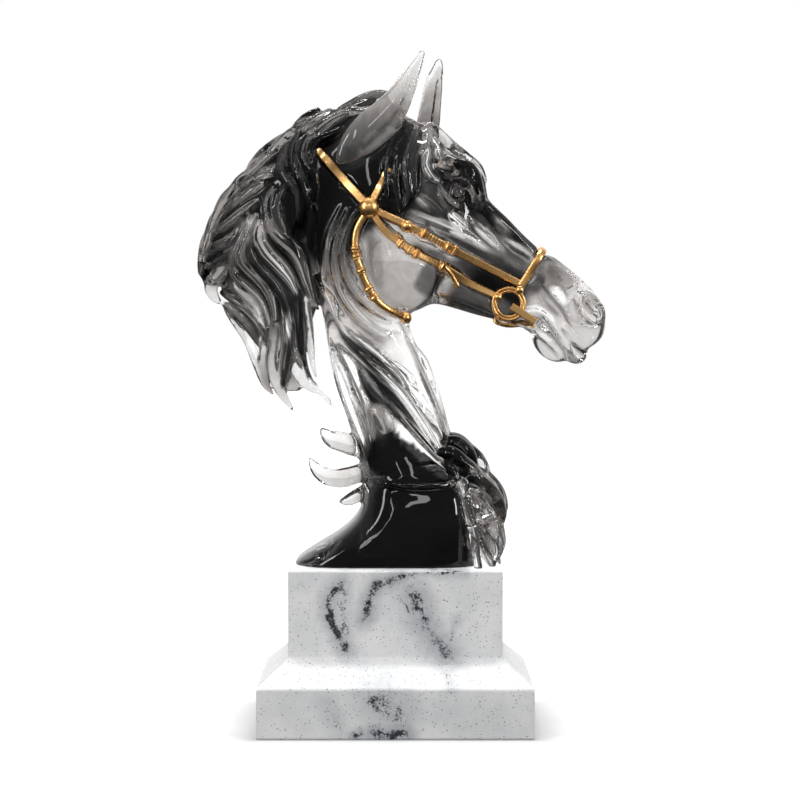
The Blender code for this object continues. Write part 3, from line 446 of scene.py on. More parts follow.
# The folds that run down the neck, in the same order. One without ink takes that of its place
NECK_FOLDS = (
    (((-21, 187), (-26, 176), (-28, 164), (-26, 153), (-20, 143), (-12, 135.5),
     (-3, 130.5)), 2.1, 1.4, 0, (0.9, 0.3)),
    (((-25, 189), (-30, 177), (-32.5, 165.5), (-31, 153), (-27, 142.5), (-20, 133), (-11.5, 126),
     (-4, 122.5)), 2.4, 0.8, 0, (0.85, 0.12)),
    (((-28.5, 190.5), (-34, 178), (-36, 165.5), (-35.5, 151.5), (-32, 138.5), (-26, 129),
     (-18, 121.5), (-9.5, 115), (-5, 111.5)), 2.8, 0.2, 0, (0.8, 0.1)),
    (((-34.5, 147.5), (-30.5, 133), (-25.5, 123.5), (-17, 116), (-7, 107.5), (1.5, 100.5),
     (7, 92.5)), 2.5, 1.4, 0, None),
    (((-27, 119), (-20, 113), (-11.5, 105.5), (-3, 98), (4.5, 91.5), (9, 88)), 2.3, 1.0, 0, None),
    (((-19, 113), (-8, 103.5), (2.5, 93), (11, 81.5), (19.5, 68), (26.5, 55),
     (33, 43.5)), 1.8, 2.2, 0, (0.02, 0.02)),
    (((-35, 123.5), (-33, 111.5), (-29.5, 99.5), (-25.5, 87), (-20, 72.5), (-15, 59),
     (-13, 49.5)), 2.4, 0.6, 0, None),
    (((-30.5, 115.5), (-24.5, 106.5), (-20, 96.5), (-15.5, 86), (-12.5, 72.5),
     (-11.5, 59)), 2.3, 0.4, 0, None),
    (((-19, 106.5), (-15, 97), (-9.5, 89.5), (-1, 84.5)), 3.5, -0.4, 0, None),
    (((-14.5, 85), (-8, 80.5), (-5, 74), (-6, 69)), 4.8, -1.0, 0, None),
    (((2, 130), (7.5, 117), (13, 104), (18.5, 91.5), (23, 79.5), (27, 66.5), (31.5, 53),
     (35, 42.5)), 1.6, 0.9, 0, (0.6, 0.66)),
    (((-3, 87), (8, 73.5), (18, 62), (27, 51.5), (33, 43)), 1.1, 0.9, 0, (0.6, 0.75)),
)
# The locks that fall down the chest: route, half-width and ink
CHEST_LOCKS = (
    (((27, 66.5), (33, 66), (38.5, 61), (41, 53.5), (39.5, 45)), 3.8, (0.7, 0.8)),
    (((30, 61), (34, 53), (37, 45), (39, 36), (41, 26)), 2.8, (0.75, 0.3)),
    (((34, 62), (41, 57), (46, 50), (47, 42), (44, 35)), 3.6, (0.12, 0.05)),
    (((36, 52), (46, 47), (53.5, 40), (57.5, 31), (57, 22)), 4.2, (0.75, 0.2)),
    (((42, 42), (49, 34), (54, 24), (57, 14), (55, 5)), 3.8, (0.1, 0.04)),
    (((38, 34), (44, 24), (49, 14), (54, 5), (56, 0)), 3.6, (0.2, 0.1)),
    (((37, 40), (40, 28), (43, 15), (44.5, 3)), 2.6, (0.8, 0.3)),
)


def dress(clay, side, locks, blend=0.4, shape=TAPER, cut=False, darker=0.0):
    """Each listed lock laid over what is under it, or cut into it.

    darker is added to the ink of those that aren't clear."""
    skin = clay.skin(side)
    for n, (knots, wide, proud, ridges, ink) in enumerate(locks):
        path = lay(clay, skin, side, knots, -proud)
        size = wide * tapered(LOCK_POINTS, shape) + LOCK_LEAST
        if darker:
            ink = [tone + darker * (tone > LOCK_INKED) for tone in ink]
        strand(clay, path, size, 0.95 * size, blend, cut, ridges, LOCK_GROOVE, 2.1 * n, ink)


def body(clay):
    """Base, neck, head and the mane's core."""
    loft(
        clay,
        (
            (-2, -54, 44.8, 36.5), (2, -53, 44.8, 36.5), (6, -48, 44.8, 36.4), (11, -40, 44.6, 36.2),
            (18, -29, 44.2, 35.6), (26, -21, 43.6, 34.6), (34, -17.5, 42.4, 33), (43, -16.5, 40, 29.5),
        ),
        UPRIGHT, power=3.4, round_ends=1.5,
    )
    loft(
        clay,
        (
            (30, -14, 40, 26), (45, -16.5, 39, 26), (57, -20, 33.5, 23), (68, -23, 30.3, 21),
            (82, -27.5, 26.5, 19.5), (95, -32, 22.8, 18.5), (109, -35, 17.4, 18.5), (122, -37, 8.8, 19.5),
            (140, -40, 8, 20),
            (170, -44, 14, 21), (200, -38, 18, 20), (225, -24, 16, 16), (238, -10, 10, 10),
        ),
        UPRIGHT, power=2.3, blend=5,
    )
    loft(
        clay,
        (
            (92, -63, -50, 4), (105, -69, -49, 7), (120, -75, -47, 9.5), (138, -86, -42, 12),
            (150, -95, -36, 14), (165, -101, -28, 16.5), (180, -95, -20, 17.5), (195, -84, -16, 17.5),
            (210, -70, -12, 17),
            (225, -54, -5, 14.5), (236, -40, 4, 11), (243, -24, 4, 8),
        ),
        UPRIGHT, power=2.2, blend=4,
    )
    loft(
        clay,
        (
            (-14, -52, -2, 15), (0, -62, 0, 19.5), (19, -72, 2, 23), (37, -80, 3.2, 24),
            (51, -79, -2.6, 21.5), (62, -70, -3.2, 18.5), (74, -61, -3.4, 15.5), (92, -52, -3.4, 12.6),
            (108, -43.5, -2.6, 12.3),
            (121, -39, -1.4, 13.5), (133, -37, -2.2, 14), (141, -33, -7, 12.5), (147, -29, -14, 8.5),
        ),
        (POLL, NOSE, CREST), power=2.3, blend=4, round_ends=5,
    )


def at_head(u, v, y=0.0):
    """A point of the clay from its place in the head's own frame."""
    x, z = on_head(u, v)
    return (x, y, z)


def crease(clay, knots, wide, deep=None, shape=SPINDLE, blend=1.0, cut=False, count=12, ink=None):
    """A thin fold, or with cut a groove, through some points."""
    size = tapered(count, shape)
    deep = wide if deep is None else deep
    strand(clay, through(knots, count), wide * size + 0.15, deep * size + 0.15, blend, cut, ink=ink)


def face(clay):
    """Jowl, brow, eye, nostril and lips, on both sides."""
    nose_turn = math.degrees(math.atan2(NOSE[1], NOSE[0]))
    blob(clay, at_head(44, -59), (26, 22.5, 27), nose_turn, blend=3)
    blob(clay, at_head(132, -36), (12, 9.5, 8.5), nose_turn, blend=3)
    blob(clay, at_head(143.5, -31), (8, 9, 6.5), nose_turn, blend=2)
    blob(clay, at_head(140.5, -18), (9.5, 12.5, 11), nose_turn, blend=3)
    top = through([at_head(104, -6.5), at_head(118, -5.6), at_head(131, -6.8), at_head(139, -10)], 10)
    strand(clay, top, np.full(10, 5.2), np.full(10, 7.0), blend=4)
    for side in (-1, 1):
        blob(clay, at_head(44, -60, side * 12), (21, 13, 21), nose_turn, blend=2)
        blob(clay, at_head(129.5, -11, side * 8), (13, 8.5, 9), nose_turn, blend=3)
        brow = through([at_head(26, -3, side * 19.5), at_head(38, 1, side * 20.5),
                        at_head(50, -6, side * 17.5)], 8)
        strand(clay, brow, np.full(8, 4.5), np.full(8, 4.0), blend=4)
        bone = through([at_head(56, -8, side * 12), at_head(90, -9, side * 8.5),
                        at_head(118, -8, side * 8)], 8)
        strand(clay, bone, np.full(8, 5.0), np.full(8, 4.0), blend=4)
        jaw = through([at_head(70, -52, side * 12), at_head(90, -44, side * 10.5),
                       at_head(112, -37, side * 9)], 8)
        strand(clay, jaw, np.full(8, 4.5), np.full(8, 3.5), blend=4)
        dress(clay, side, FACE_FOLDS, blend=1.2, shape=SPINDLE)
        dress(clay, side, FACE_GROOVES, blend=0.7, shape=SPINDLE, cut=True)
        eye(clay, side)
        nostril(clay, side, nose_turn)


def eye(clay, side):
    """An eyeball in its socket, between its lids."""

    def at(u, v, y):
        """A point of the head, y outwards on this side."""
        return at_head(u, v, side * y)

    blob(clay, at(40.5, -12, 27), (9, 5.5, 6.2), -50, blend=2, cut=True)
    blob(clay, at(40.5, -12, 20.4), (5.2, 4.6, 4.8), -42, blend=0.5)
    lids = (
        ((at(30.5, -13.5, 22), at(35, -8, 24), at(41, -5.6, 24.6), at(48, -8, 22.8),
          at(51.5, -13, 20)), 1.6),
        ((at(31, -14, 21.8), at(37, -17.4, 23), at(44, -17.4, 22.4), at(51, -13, 20)), 1.4),
        ((at(29, -11, 22.5), at(34, -4.2, 24.4), at(42, -1.2, 24.2), at(52, -6, 21.5)), 1.2),
        ((at(32, -17, 21.6), at(38, -21.4, 21.8), at(46, -21.2, 20.6)), 0.9),
    )
    for knots, wide in lids:
        crease(clay, knots, wide, ink=(0.6, 0.45))


def nostril(clay, side, nose_turn):
    """A hollow oval with a rolled rim."""

    def at(u, v, y):
        """A point of the head, y outwards on this side."""
        return at_head(u, v, side * y)

    middle, slant, count = (134, -8.6), 15, 24
    blob(clay, at(*middle, 16.8), (8.0, 7.5, 3.8), nose_turn - slant, blend=2.0, cut=True)
    lean = math.radians(slant)
    rim = []
    for a in np.linspace(0, 2 * math.pi, count):
        along, across = 9.2 * math.cos(a), 4.9 * math.sin(a)
        u = middle[0] + along * math.cos(lean) + across * math.sin(lean)
        v = middle[1] - along * math.sin(lean) + across * math.cos(lean)
        rim.append(at(u, v, 14.4 + 1.1 * math.cos(a)))
    strand(clay, np.array(rim), np.full(count, 1.7), np.full(count, 1.9), blend=1.0, ink=(0.42, 0.3))


def hair(clay):
    """Mane, forelock, the folds of the neck, the locks at the chest and the curls at the back."""
    for side in (-1, 1):
        dress(clay, side, NECK_FOLDS, blend=1.0, shape=SPINDLE)
        dress(clay, side, LOCKS, darker=0.12)
        dress(clay, side, FORELOCKS)
        chest(clay, side)
    crown(clay)
    ledge(clay)
    curls(clay)


def crown(clay):
    """Short locks along the crest, which show from behind."""
    rng = np.random.default_rng(5)
    edge = through(((2, 247), (-22, 245), (-46, 240), (-68, 223), (-88, 203), (-101, 178), (-105, 158)), 26)
    for i in range(0, 22, 2):
        for across in (-1, 0, 1):
            a, b, c = edge[i], edge[i + 2], edge[min(i + 5, 25)]
            lean = across * 5 + rng.uniform(-1.5, 1.5)
            knots = ((a[0], lean, a[1] - 6), (b[0], 1.3 * lean, b[1] - 4.4), (c[0], 2.1 * lean, c[1] - 6))
            path = through(knots, 10)
            size = rng.uniform(0.85, 1.15) * tapered(10, TAPER)
            strand(clay, path, 3.0 * size, 3.4 * size, 0.5, ridges=1, groove=0.5, phase=i, ink=(0.6, 0.45))


def chest(clay, side):
    """The mane that falls in curls down the front of the chest."""
    for row in range(3):
        for n, (knots, wide, ink) in enumerate(CHEST_LOCKS):
            y = side * (4 + 11 * row)
            lean = 1.8 * math.sin(2.3 * row + n)
            back, down = 0.9 * row**1.5 - 0.5 * lean, 2 * row - lean
            path = through([(x - back, y, z - down) for x, z in knots], 16)
            path[:, 1] += side * 1.5 * np.sin(np.linspace(0, 5, 16) + n)
            size = wide * tapered(16, TAPER) + 0.4
            strand(clay, path, size, 1.3 * size, 0.4, ridges=1, groove=0.7, phase=2 * n + row, ink=ink)


def ledge(clay):
    """The soft ridge where the neck meets the block, on both sides, and the block's edge at the chest."""
    for side in (-1, 1):
        rim = [(-12, side * 27, 47), (-4, side * 31.5, 44), (8, side * 33.5, 42.6), (20, side * 33, 42.6),
               (33, side * 28, 45), (37, side * 24, 47)]
        size = tapered(16, SPINDLE)
        strand(clay, through(rim, 16), 2.0 * size + 0.4, 2.4 * size + 0.4, 1.4)
        edge = [(35, side * 30, 44), (38.5, side * 33, 30), (41.5, side * 35, 15), (43.5, side * 35.5, 0)]
        strand(clay, through(edge, 12), np.full(12, 2.6), np.full(12, 2.2), 0.8, ink=(0.05, 0.03))


def curls(clay):
    """Three curled tips that stand out from the back of the base."""
    for knots, wide in (
        (((-40.5, -6, 73), (-35, -6, 67), (-27, -5, 64.5), (-15, -4, 60)), 5.8),
        (((-47, -3, 57), (-40, -3, 48), (-29, -3, 45.5), (-14, -3, 50)), 5.4),
        (((-31, -8, 33), (-24, -8, 34.5), (-15, -7, 40)), 3.8),
    ):
        path = through(knots, 16)
        size = tapered(16, TAPER)[::-1]
        strand(clay, path, wide * size, 0.8 * wide * size, 1.6, ink=(0.06, 0.3))


# Each ear from root to tip in the side view: (x, z, half-width)
NEAR_EAR = (
    (-29.1, 214.6, 2.7), (-23.2, 221.1, 7.2), (-15.2, 228.6, 9.9), (-5.5, 237.7, 9.4), (1.4, 246.8, 7.3),
    (6.3, 255.9, 5.5), (10.6, 264.5, 3.9), (13.9, 271.3, 2.1),
)
FAR_EAR = (
    (12, 224, 4.5), (17, 234, 6.4), (19.1, 246.8, 5.8), (20.7, 257.5, 5.0), (22.4, 264, 3.6),
    (23.4, 269, 2.2),
)


def ears(clay):
    """A cupped leaf on each side."""
    for side, line, stand in ((-1, NEAR_EAR, 21), (1, FAR_EAR, 19)):
        leaf = through(line, 26)
        t = np.linspace(0, 1, 26)
        path = np.column_stack([leaf[:, 0], side * (stand - 7 * t**1.5), leaf[:, 1]])
        strand(clay, path, leaf[:, 2], 0.42 * leaf[:, 2] + 0.5, blend=0.7, ink=(0.74, 0.1))
        fold = path[5:22] + np.array([2.2, side * 0.42, -2.2]) * leaf[5:22, 2:] * np.array([0.2, 1, 0.2])
        strand(clay, fold, 0.3 * leaf[5:22, 2], 0.16 * leaf[5:22, 2], blend=1.2, cut=True)


def joined(corner, members):
    """Whether some corners of a cell are joined to one another along its edges."""
    seen, queue = {members[0]}, [members[0]]
    while queue:
        here = queue.pop()
        for there in members:
            apart = sum(a != b for a, b in zip(corner[here], corner[there]))
            if there not in seen and apart == 1:
                seen.add(there)
                queue.append(there)
    return len(seen) == len(members)


def settle(value, cell):
    """Fills single corners until every cell has one run of surface through it."""
    corner = [(i, j, k) for i in (0, 1) for j in (0, 1) for k in (0, 1)]
    fine = np.zeros(256, bool)
    for case in range(256):
        groups = [[n for n in range(8) if (case >> n & 1) == wanted] for wanted in (0, 1)]
        fine[case] = all(joined(corner, members) for members in groups if members)
    a, b, c = (n - 1 for n in value.shape)
    for _ in range(40):
        stack = [value[i : i + a, j : j + b, k : k + c] for i, j, k in corner]
        case = sum((part < 0).astype(np.uint8) << n for n, part in enumerate(stack))
        bad = np.argwhere(~fine[case])
        if not len(bad):
            return
        for i, j, k in bad:
            cell_values = [(value[i + p, j + q, k + r], (i + p, j + q, k + r)) for p, q, r in corner]
            outside = [item for item in cell_values if item[0] >= 0]
            if outside:
                value[min(outside)[1]] = -0.02 * cell


def skinned(clay):
    """The clay's surface as points and quads, one point to a cell that the surface crosses."""
    value = clay.value
    settle(value, clay.cell)
    inside = value < 0
    shape = np.array(value.shape) - 1
    total = np.zeros((*shape, 3), np.float32)
    count = np.zeros(shape, np.float32)
    for axis in range(3):
        low = [slice(None)] * 3
        high = [slice(None)] * 3
        low[axis], high[axis] = slice(None, -1), slice(1, None)
        a, b = value[tuple(low)], value[tuple(high)]
        crossed = (a < 0) != (b < 0)
        f = np.where(crossed, a / np.where(crossed, a - b, 1), 0)
        others = [n for n in range(3) if n != axis]
        for p in (0, 1):
            for q in (0, 1):
                part = [slice(None)] * 3
                part[others[0]] = slice(p, p + shape[others[0]])
                part[others[1]] = slice(q, q + shape[others[1]])
                hit, along = crossed[tuple(part)], f[tuple(part)]
                count += hit
                total[..., axis] += along
                total[..., others[0]] += p * hit
                total[..., others[1]] += q * hit
    used = count > 0
    number = np.full(shape, -1)
    number[used] = np.arange(used.sum())
    start = np.array([axis[0] for axis in clay.axes])
    points = (np.argwhere(used) + total[used] / count[used][:, None]) * clay.cell + start
    quads = []
    for axis in range(3):
        b, c = (axis + 1) % 3, (axis + 2) % 3
        low = [slice(1, -1)] * 3
        high = [slice(1, -1)] * 3
        low[axis], high[axis] = slice(None, -1), slice(1, None)
        a, d = inside[tuple(low)], inside[tuple(high)]
        for wanted, flip in ((a & ~d, False), (~a & d, True)):
            cell = np.argwhere(wanted)
            cell[:, b] += 1
            cell[:, c] += 1
            step_b, step_c = np.eye(3, dtype=int)[b], np.eye(3, dtype=int)[c]
            ring = [cell - step_b - step_c, cell - step_c, cell, cell - step_b]
            quad = np.column_stack([number[tuple(r.T)] for r in ring])
            quads.append(quad[:, ::-1] if flip else quad)
    return points, np.vstack(quads)


def largest(points, quads):
    """Only the biggest connected surface, so no crumb or sealed hollow is left."""
    label = np.arange(len(points))
    while True:
        lowest = label[quads].min(axis=1)
        new = label.copy()
        for k in range(4):
            np.minimum.at(new, quads[:, k], lowest)
        new = new[new]
        if (new == label).all():
            break
        label = new
    keep = label == np.bincount(label).argmax()
    index = np.cumsum(keep) - 1
    return points[keep], index[quads[keep[quads[:, 0]]]]


class Casting:
    """Closed swept and turned shapes gathered into one mesh."""

    def __init__(self):
        self.points, self.faces = [], []

    def add(self, points, faces):
        """Adds a closed shape, turned inside out if its faces point inwards."""
        points = np.asarray(points, float)
        corners = np.array([(f[0], f[k], f[k + 1]) for f in faces for k in range(1, len(f) - 1)])
        a, b, c = (points[corners[:, n]] for n in range(3))
        if (a * np.cross(b, c)).sum() < 0:
            faces = [face[::-1] for face in faces]
        first = len(self.points)
        self.points += points.tolist()
        self.faces += [tuple(first + n for n in face) for face in faces]

    def sweep(self, path, out, wide, thick, square=4.0, around=16):
        """A bar along a path; square is 2 for a round section and more for a flat one."""
        run = np.gradient(path, axis=0)
        run /= np.linalg.norm(run, axis=1)[:, None]
        out = out - run * (out * run).sum(axis=1)[:, None]
        out = out / np.linalg.norm(out, axis=1)[:, None]
        across = np.cross(run, out)
        if square == FLAT:
            around = 8
            side, up = (np.repeat(v, 2).astype(float) for v in ((1, -1, -1, 1), (1, 1, -1, -1)))
        else:
            angle = (np.arange(around) + 0.5) * 2 * math.pi / around
            side, up = (np.sign(v) * np.abs(v) ** (2 / square) for v in (np.cos(angle), np.sin(angle)))
        rings = []
        for p, a, n, w, t in zip(path, across, out, wide, thick):
            right, high = side * w / 2, up * t / 2
            if square == FLAT:
                edge = min(0.16 * w, 0.3 * t)
                right[[1, 2, 5, 6]] -= edge * side[[1, 2, 5, 6]]
                high[[0, 3, 4, 7]] -= edge * up[[0, 3, 4, 7]]
            rings.append(p + np.outer(right, a) + np.outer(high, n))
        last = len(path) - 1
        faces = [tuple(range(around)), tuple(last * around + k for k in range(around))[::-1]]
        for i in range(last):
            for k in range(around):
                a, b = i * around + k, i * around + (k + 1) % around
                faces.append((a, a + around, b + around, b))
        self.add(np.vstack(rings), faces)

    def ball(self, centre, radius, flat=1.0, around=28, rows=16):
        """A ball at a point, flattened across the view."""
        points = [(0, -flat, 0)]
        for i in range(1, rows):
            a = math.pi * i / rows
            for k in range(around):
                b = 2 * math.pi * k / around
                points.append((math.sin(a) * math.cos(b), -flat * math.cos(a), math.sin(a) * math.sin(b)))
        points.append((0, flat, 0))
        faces, last = [], len(points) - 1
        for k in range(around):
            n = (k + 1) % around
            faces.append((0, 1 + k, 1 + n))
            faces.append((last, last - around + n, last - around + k))
            for i in range(rows - 2):
                a, b = 1 + i * around + k, 1 + i * around + n
                faces.append((a, a + around, b + around, b))
        self.add(np.array(points) * radius + centre, faces)

    def ring(self, centre, radius, tube, around=56, rows=12):
        """A round ring lying along the cheek."""
        points, faces = [], []
        for i in range(around):
            a = 2 * math.pi * i / around
            for k in range(rows):
                b = 2 * math.pi * (k + 0.5) / rows
                out = radius + tube * math.cos(b)
                points.append((out * math.cos(a), tube * math.sin(b), out * math.sin(a)))
                j, n = (i + 1) % around, (k + 1) % rows
                faces.append((i * rows + k, i * rows + n, j * rows + n, j * rows + k))
        self.add(np.array(points) + centre, faces)


# Bridle routes over the side view, in the drawn bust's millimetres, and the collars on them
KNOT = (-13.9, 189.6)
CROWN_STRAP = ((-41.5, 220.5), (-27, 204), KNOT)
BROW_BAND = (KNOT, (-9.8, 197.8), (-6, 205.5), (-3.5, 210.5))
UPPER_STRAP = (KNOT, (5, 181), (27, 169.4), (47.2, 159.2), (67, 149.2))
LOWER_STRAP = (KNOT, (-6.5, 178.5), (2.4, 171), (11, 165.3), (27.7, 157), (39.3, 149.7), (54.2, 142.6))
FORKED_END = ((24, 160), (29, 155), (33.6, 147.3))
THROAT_STRAP = (KNOT, (-20.3, 178), (-21.2, 167), (-18.5, 157), (-13.6, 146), (-7, 138), (5.5, 131.4))
UPPER_COLLARS = ((6.2, 179.8), (14.3, 175.2), (27.2, 169.1), (30.8, 167.2))
LOWER_COLLARS = ((2.9, 170.3), (7.3, 167.5), (11.1, 165.3), (24.6, 159))
THROAT_COLLARS = ((-20.8, 168), (-20.4, 164), (-17.8, 156.6), (-14.2, 146.6), (-11.2, 142.6))
UPPER_BRAID = ((14.3, 175.2), (27.2, 169.1))
LOWER_BRAID = ((11.1, 165.3), (24.6, 159))
RING_AT = (60.2, 138.8)
BIT_BAR = ((61.5, 137.6), (74.3, 129.3))
BIT_WIDE, BIT_THICK = 4.0, 2.8
# (x, how far it stands off the ring, z) of the studs where the straps meet the ring
STUDS = ((66, 0.5, 146.2), (54.6, 0.4, 142.4))
# (x, share of the ring's distance from the middle, z), under the chin from side to side
CHIN_STRAP = ((53.8, 1, 132), (54.6, 0.96, 129), (60, 0.7, 127.4), (66, 0.3, 127.6), (67, 0, 128))
NOSE_LOW = (65.6, 146.6)
NOSE_HIGH = (80.6, 170.4)


class Strap:
    """A strap's middle line, its outward directions and its section along it."""

    def __init__(self, path, out, wide, thick=STRAP_THICK, square=4.0):
        count = len(path)
        self.path, self.out, self.square = path, out, square
        self.wide, self.thick = np.full(count, float(wide)), np.full(count, float(thick))

    def along(self):
        """The length of the strap up to each of its points."""
        steps = np.linalg.norm(np.diff(self.path, axis=0), axis=1)
        return np.concatenate([[0], np.cumsum(steps)])

    def nearest(self, place):
        """The number of the point nearest to a place in the side view."""
        return np.argmin(np.hypot(self.path[:, 0] - place[0], self.path[:, 2] - place[1]))

    def collar(self, place, swell=1.7, half=1.4):
        """A raised band round the strap."""
        length = self.along()
        off = (length - length[self.nearest(place)]) / half
        bump = np.exp(-(off**8)) * (1 + 0.25 * np.cos(2 * math.pi * off))
        self.wide += bump * (swell - 1) * STRAP_THICK * 1.4
        self.thick += bump * (swell - 1) * STRAP_THICK * 1.3

    def braid(self, ends, period=1.7, deep=0.32):
        """Small even notches between two places."""
        first, last = sorted(self.nearest(end) for end in ends)
        wave = deep * np.cos(2 * math.pi * self.along() / period)
        inside = np.zeros(len(self.path))
        inside[first:last] = 1
        self.wide += inside * (wave - 0.35)
        self.thick += inside * (wave + 0.9)

    def rounded_ends(self):
        """Draws the section in over the last part of each end."""
        length = self.along()
        for distance in (length, length[-1] - length):
            near = np.clip(distance / (0.5 * self.wide.mean()), 0, 1)
            shrink = np.sqrt(np.clip(1 - (1 - near) ** 2, 0.02, 1))
            self.wide *= shrink
            self.thick *= 0.35 + 0.65 * shrink

    def channel(self, clay):
        """Clears the resin round the strap."""
        every = slice(None, None, max(len(self.path) // 14, 1))
        path = np.vstack([self.path[every], self.path[-1:]])
        wide = np.append(self.wide[every], self.wide[-1])
        thick = np.append(self.thick[every], self.thick[-1])
        strand(clay, path, 0.6 * wide + 0.4 * CHANNEL_GAP, 0.62 * thick + 0.4 * CHANNEL_GAP, 0.4, cut=True)


def harness(clay, strap_wide):
    """Every strap, ball and ring of the bridle, laid on the finished clay."""
    straps, balls, rings = [], [], []
    for side in (-1, 1):
        skin = clay.skin(side)
        slope_x, slope_z = np.gradient(skin, clay.cell)
        stand = clay.look_up(skin, [RING_AT[0]], [RING_AT[1]])[0] + RING_TUBE

        def laid(knots, count, lift=0.0):
            """A route's points on the resin and the directions out of it."""
            flat = through(knots, count)
            x, z = flat.T
            y = clay.look_up(skin, x, z) + STRAP_THICK / 2 - STRAP_SUNK + lift
            # The brow band runs straight into the hair
            if knots is BROW_BAND:
                y[:] = y[0] + 0.5
            for _ in range(count // 3):
                y[1:-1] = (y[:-2] + 2 * y[1:-1] + y[2:]) / 4
            out = (-clay.look_up(slope_x, x, z), np.full(count, side), -clay.look_up(slope_z, x, z))
            return np.column_stack([x, side * y, z]), np.clip(np.column_stack(out), -1, 1)

        # Route, points, share of the straps' width, thickness, how square, collars and braid
        for knots, count, share, thick, square, collars, braid in (
            (CROWN_STRAP, 40, 1.0, 1.9, FLAT, (), None),
            (BROW_BAND, 24, 0.9, 1.9, FLAT, (), None),
            (UPPER_STRAP, 240, 0.86, 2.1, FLAT, UPPER_COLLARS, UPPER_BRAID),
            (LOWER_STRAP, 220, 0.88, 2.0, FLAT, LOWER_COLLARS, LOWER_BRAID),
            (FORKED_END, 24, 0.6, 2.0, 2.2, (), None),
            (THROAT_STRAP, 180, 0.84, 2.7, 2.3, THROAT_COLLARS, None),
        ):
            lift = 0.7 if knots is FORKED_END else 0.0
            strap = Strap(*laid(knots, count, lift), share * strap_wide, thick, square)
            for place in collars:
                strap.collar(place)
            if braid:
                strap.braid(braid)
            if knots is not BROW_BAND:
                strap.rounded_ends()
            straps.append(strap)
        path, _ = laid((KNOT, THROAT_STRAP[-1]), 2, 0.8)
        bead, _ = laid((UPPER_COLLARS[0], KNOT), 2, 0.5)
        balls += [(bead[0], BEAD_RADIUS, 0.8), (path[0], BALL_RADIUS, 0.75), (path[1], TIP_RADIUS, 1.0)]
        rings.append(np.array([RING_AT[0], side * stand, RING_AT[1]]))
        flat = through(BIT_BAR, 18)
        path = np.column_stack([flat[:, 0], np.full(18, side * (stand + 0.6)), flat[:, 1]])
        straps.append(Strap(path, np.tile((0.0, side, 0.0), (18, 1)), BIT_WIDE, BIT_THICK, FLAT))
        balls += [(np.array([x, side * (stand + off), z]), STUD_RADIUS, 0.8) for x, off, z in STUDS]
    near = [(x, -share * stand, z) for x, share, z in CHIN_STRAP]
    under = through(near + [(x, -y, z) for x, y, z in near[-2::-1]], 40)
    chin_middle = (60, 0, 136)
    out = under - np.array(chin_middle)
    straps.append(Strap(under, out, 2.6, 2.0, 2.4))
    straps.append(nose_band(clay))
    return straps, balls, rings


def nose_band(clay):
    """The band over the nose that joins the two sides."""
    low, high = np.array(NOSE_LOW), np.array(NOSE_HIGH)
    up = (high - low) / np.linalg.norm(high - low)
    middle = low + 0.42 * (high - low)
    path, out = [], []
    for turn in np.linspace(-126, 126, 61):
        a = math.radians(turn)
        ray = np.array([up[0] * math.cos(a), math.sin(a), up[1] * math.cos(a)])
        steps = np.linspace(0, 40, 200)
        probe = np.array([middle[0], 0, middle[1]]) + steps[:, None] * ray
        inside = clay.read(clay.value, probe) < 0
        surface = probe[len(steps) - 1 - inside[::-1].argmax()]
        path.append(surface + ray * (STRAP_THICK / 2 - STRAP_SUNK + 0.6))
        out.append(ray)
    path = np.array(path)
    for _ in range(12):
        path[1:-1] = (path[:-2] + 2 * path[1:-1] + path[2:]) / 4
    return Strap(path, np.array(out), 4.2, 2.5, 3.0)


def clear_bridle(clay, straps, balls, rings):
    """Makes room in the resin for every part of the bridle."""
    for strap in straps:
        strap.channel(clay)
    for centre, radius, flat in balls:
        r = radius + 0.4 * CHANNEL_GAP
        blob(clay, centre, (r, r * flat, r), blend=0.4, cut=True)
    for centre in rings:
        turn = np.linspace(0, 2 * math.pi, 24)
        x, z = centre[0] + RING_RADIUS * np.cos(turn), centre[2] + RING_RADIUS * np.sin(turn)
        path = np.column_stack([x, np.full(24, centre[1]), z])
        strand(clay, path, np.full(24, RING_TUBE + 0.5), np.full(24, RING_TUBE + 0.5), 0.4, cut=True)


@functools.lru_cache(maxsize=1)
def sculpted(cell, strap_wide):
    """The finished clay with room for the bridle, its skin, and the bridle's parts."""
    clay = Clay((*CLAY_LOW, -2 * cell), CLAY_HIGH, cell)
    body(clay)
    face(clay)
    hair(clay)
    ears(clay)
    fittings = harness(clay, strap_wide)
    clear_bridle(clay, *fittings)
    # A light blur rounds the grooves as casting does, and the underside is cut flat
    clay.value = blurred(clay.value, 2)
    *_, z = clay.window(*WHOLE)
    clay.value = np.maximum(clay.value, -z)
    points, quads = largest(*skinned(clay))
    # The lowest points lie flat on the plinth
    points[points[:, 2] < 0.45 * cell, 2] = 0
    return clay, points, quads, fittings


# The ink outside every zone
PLAIN_INK = 0.4
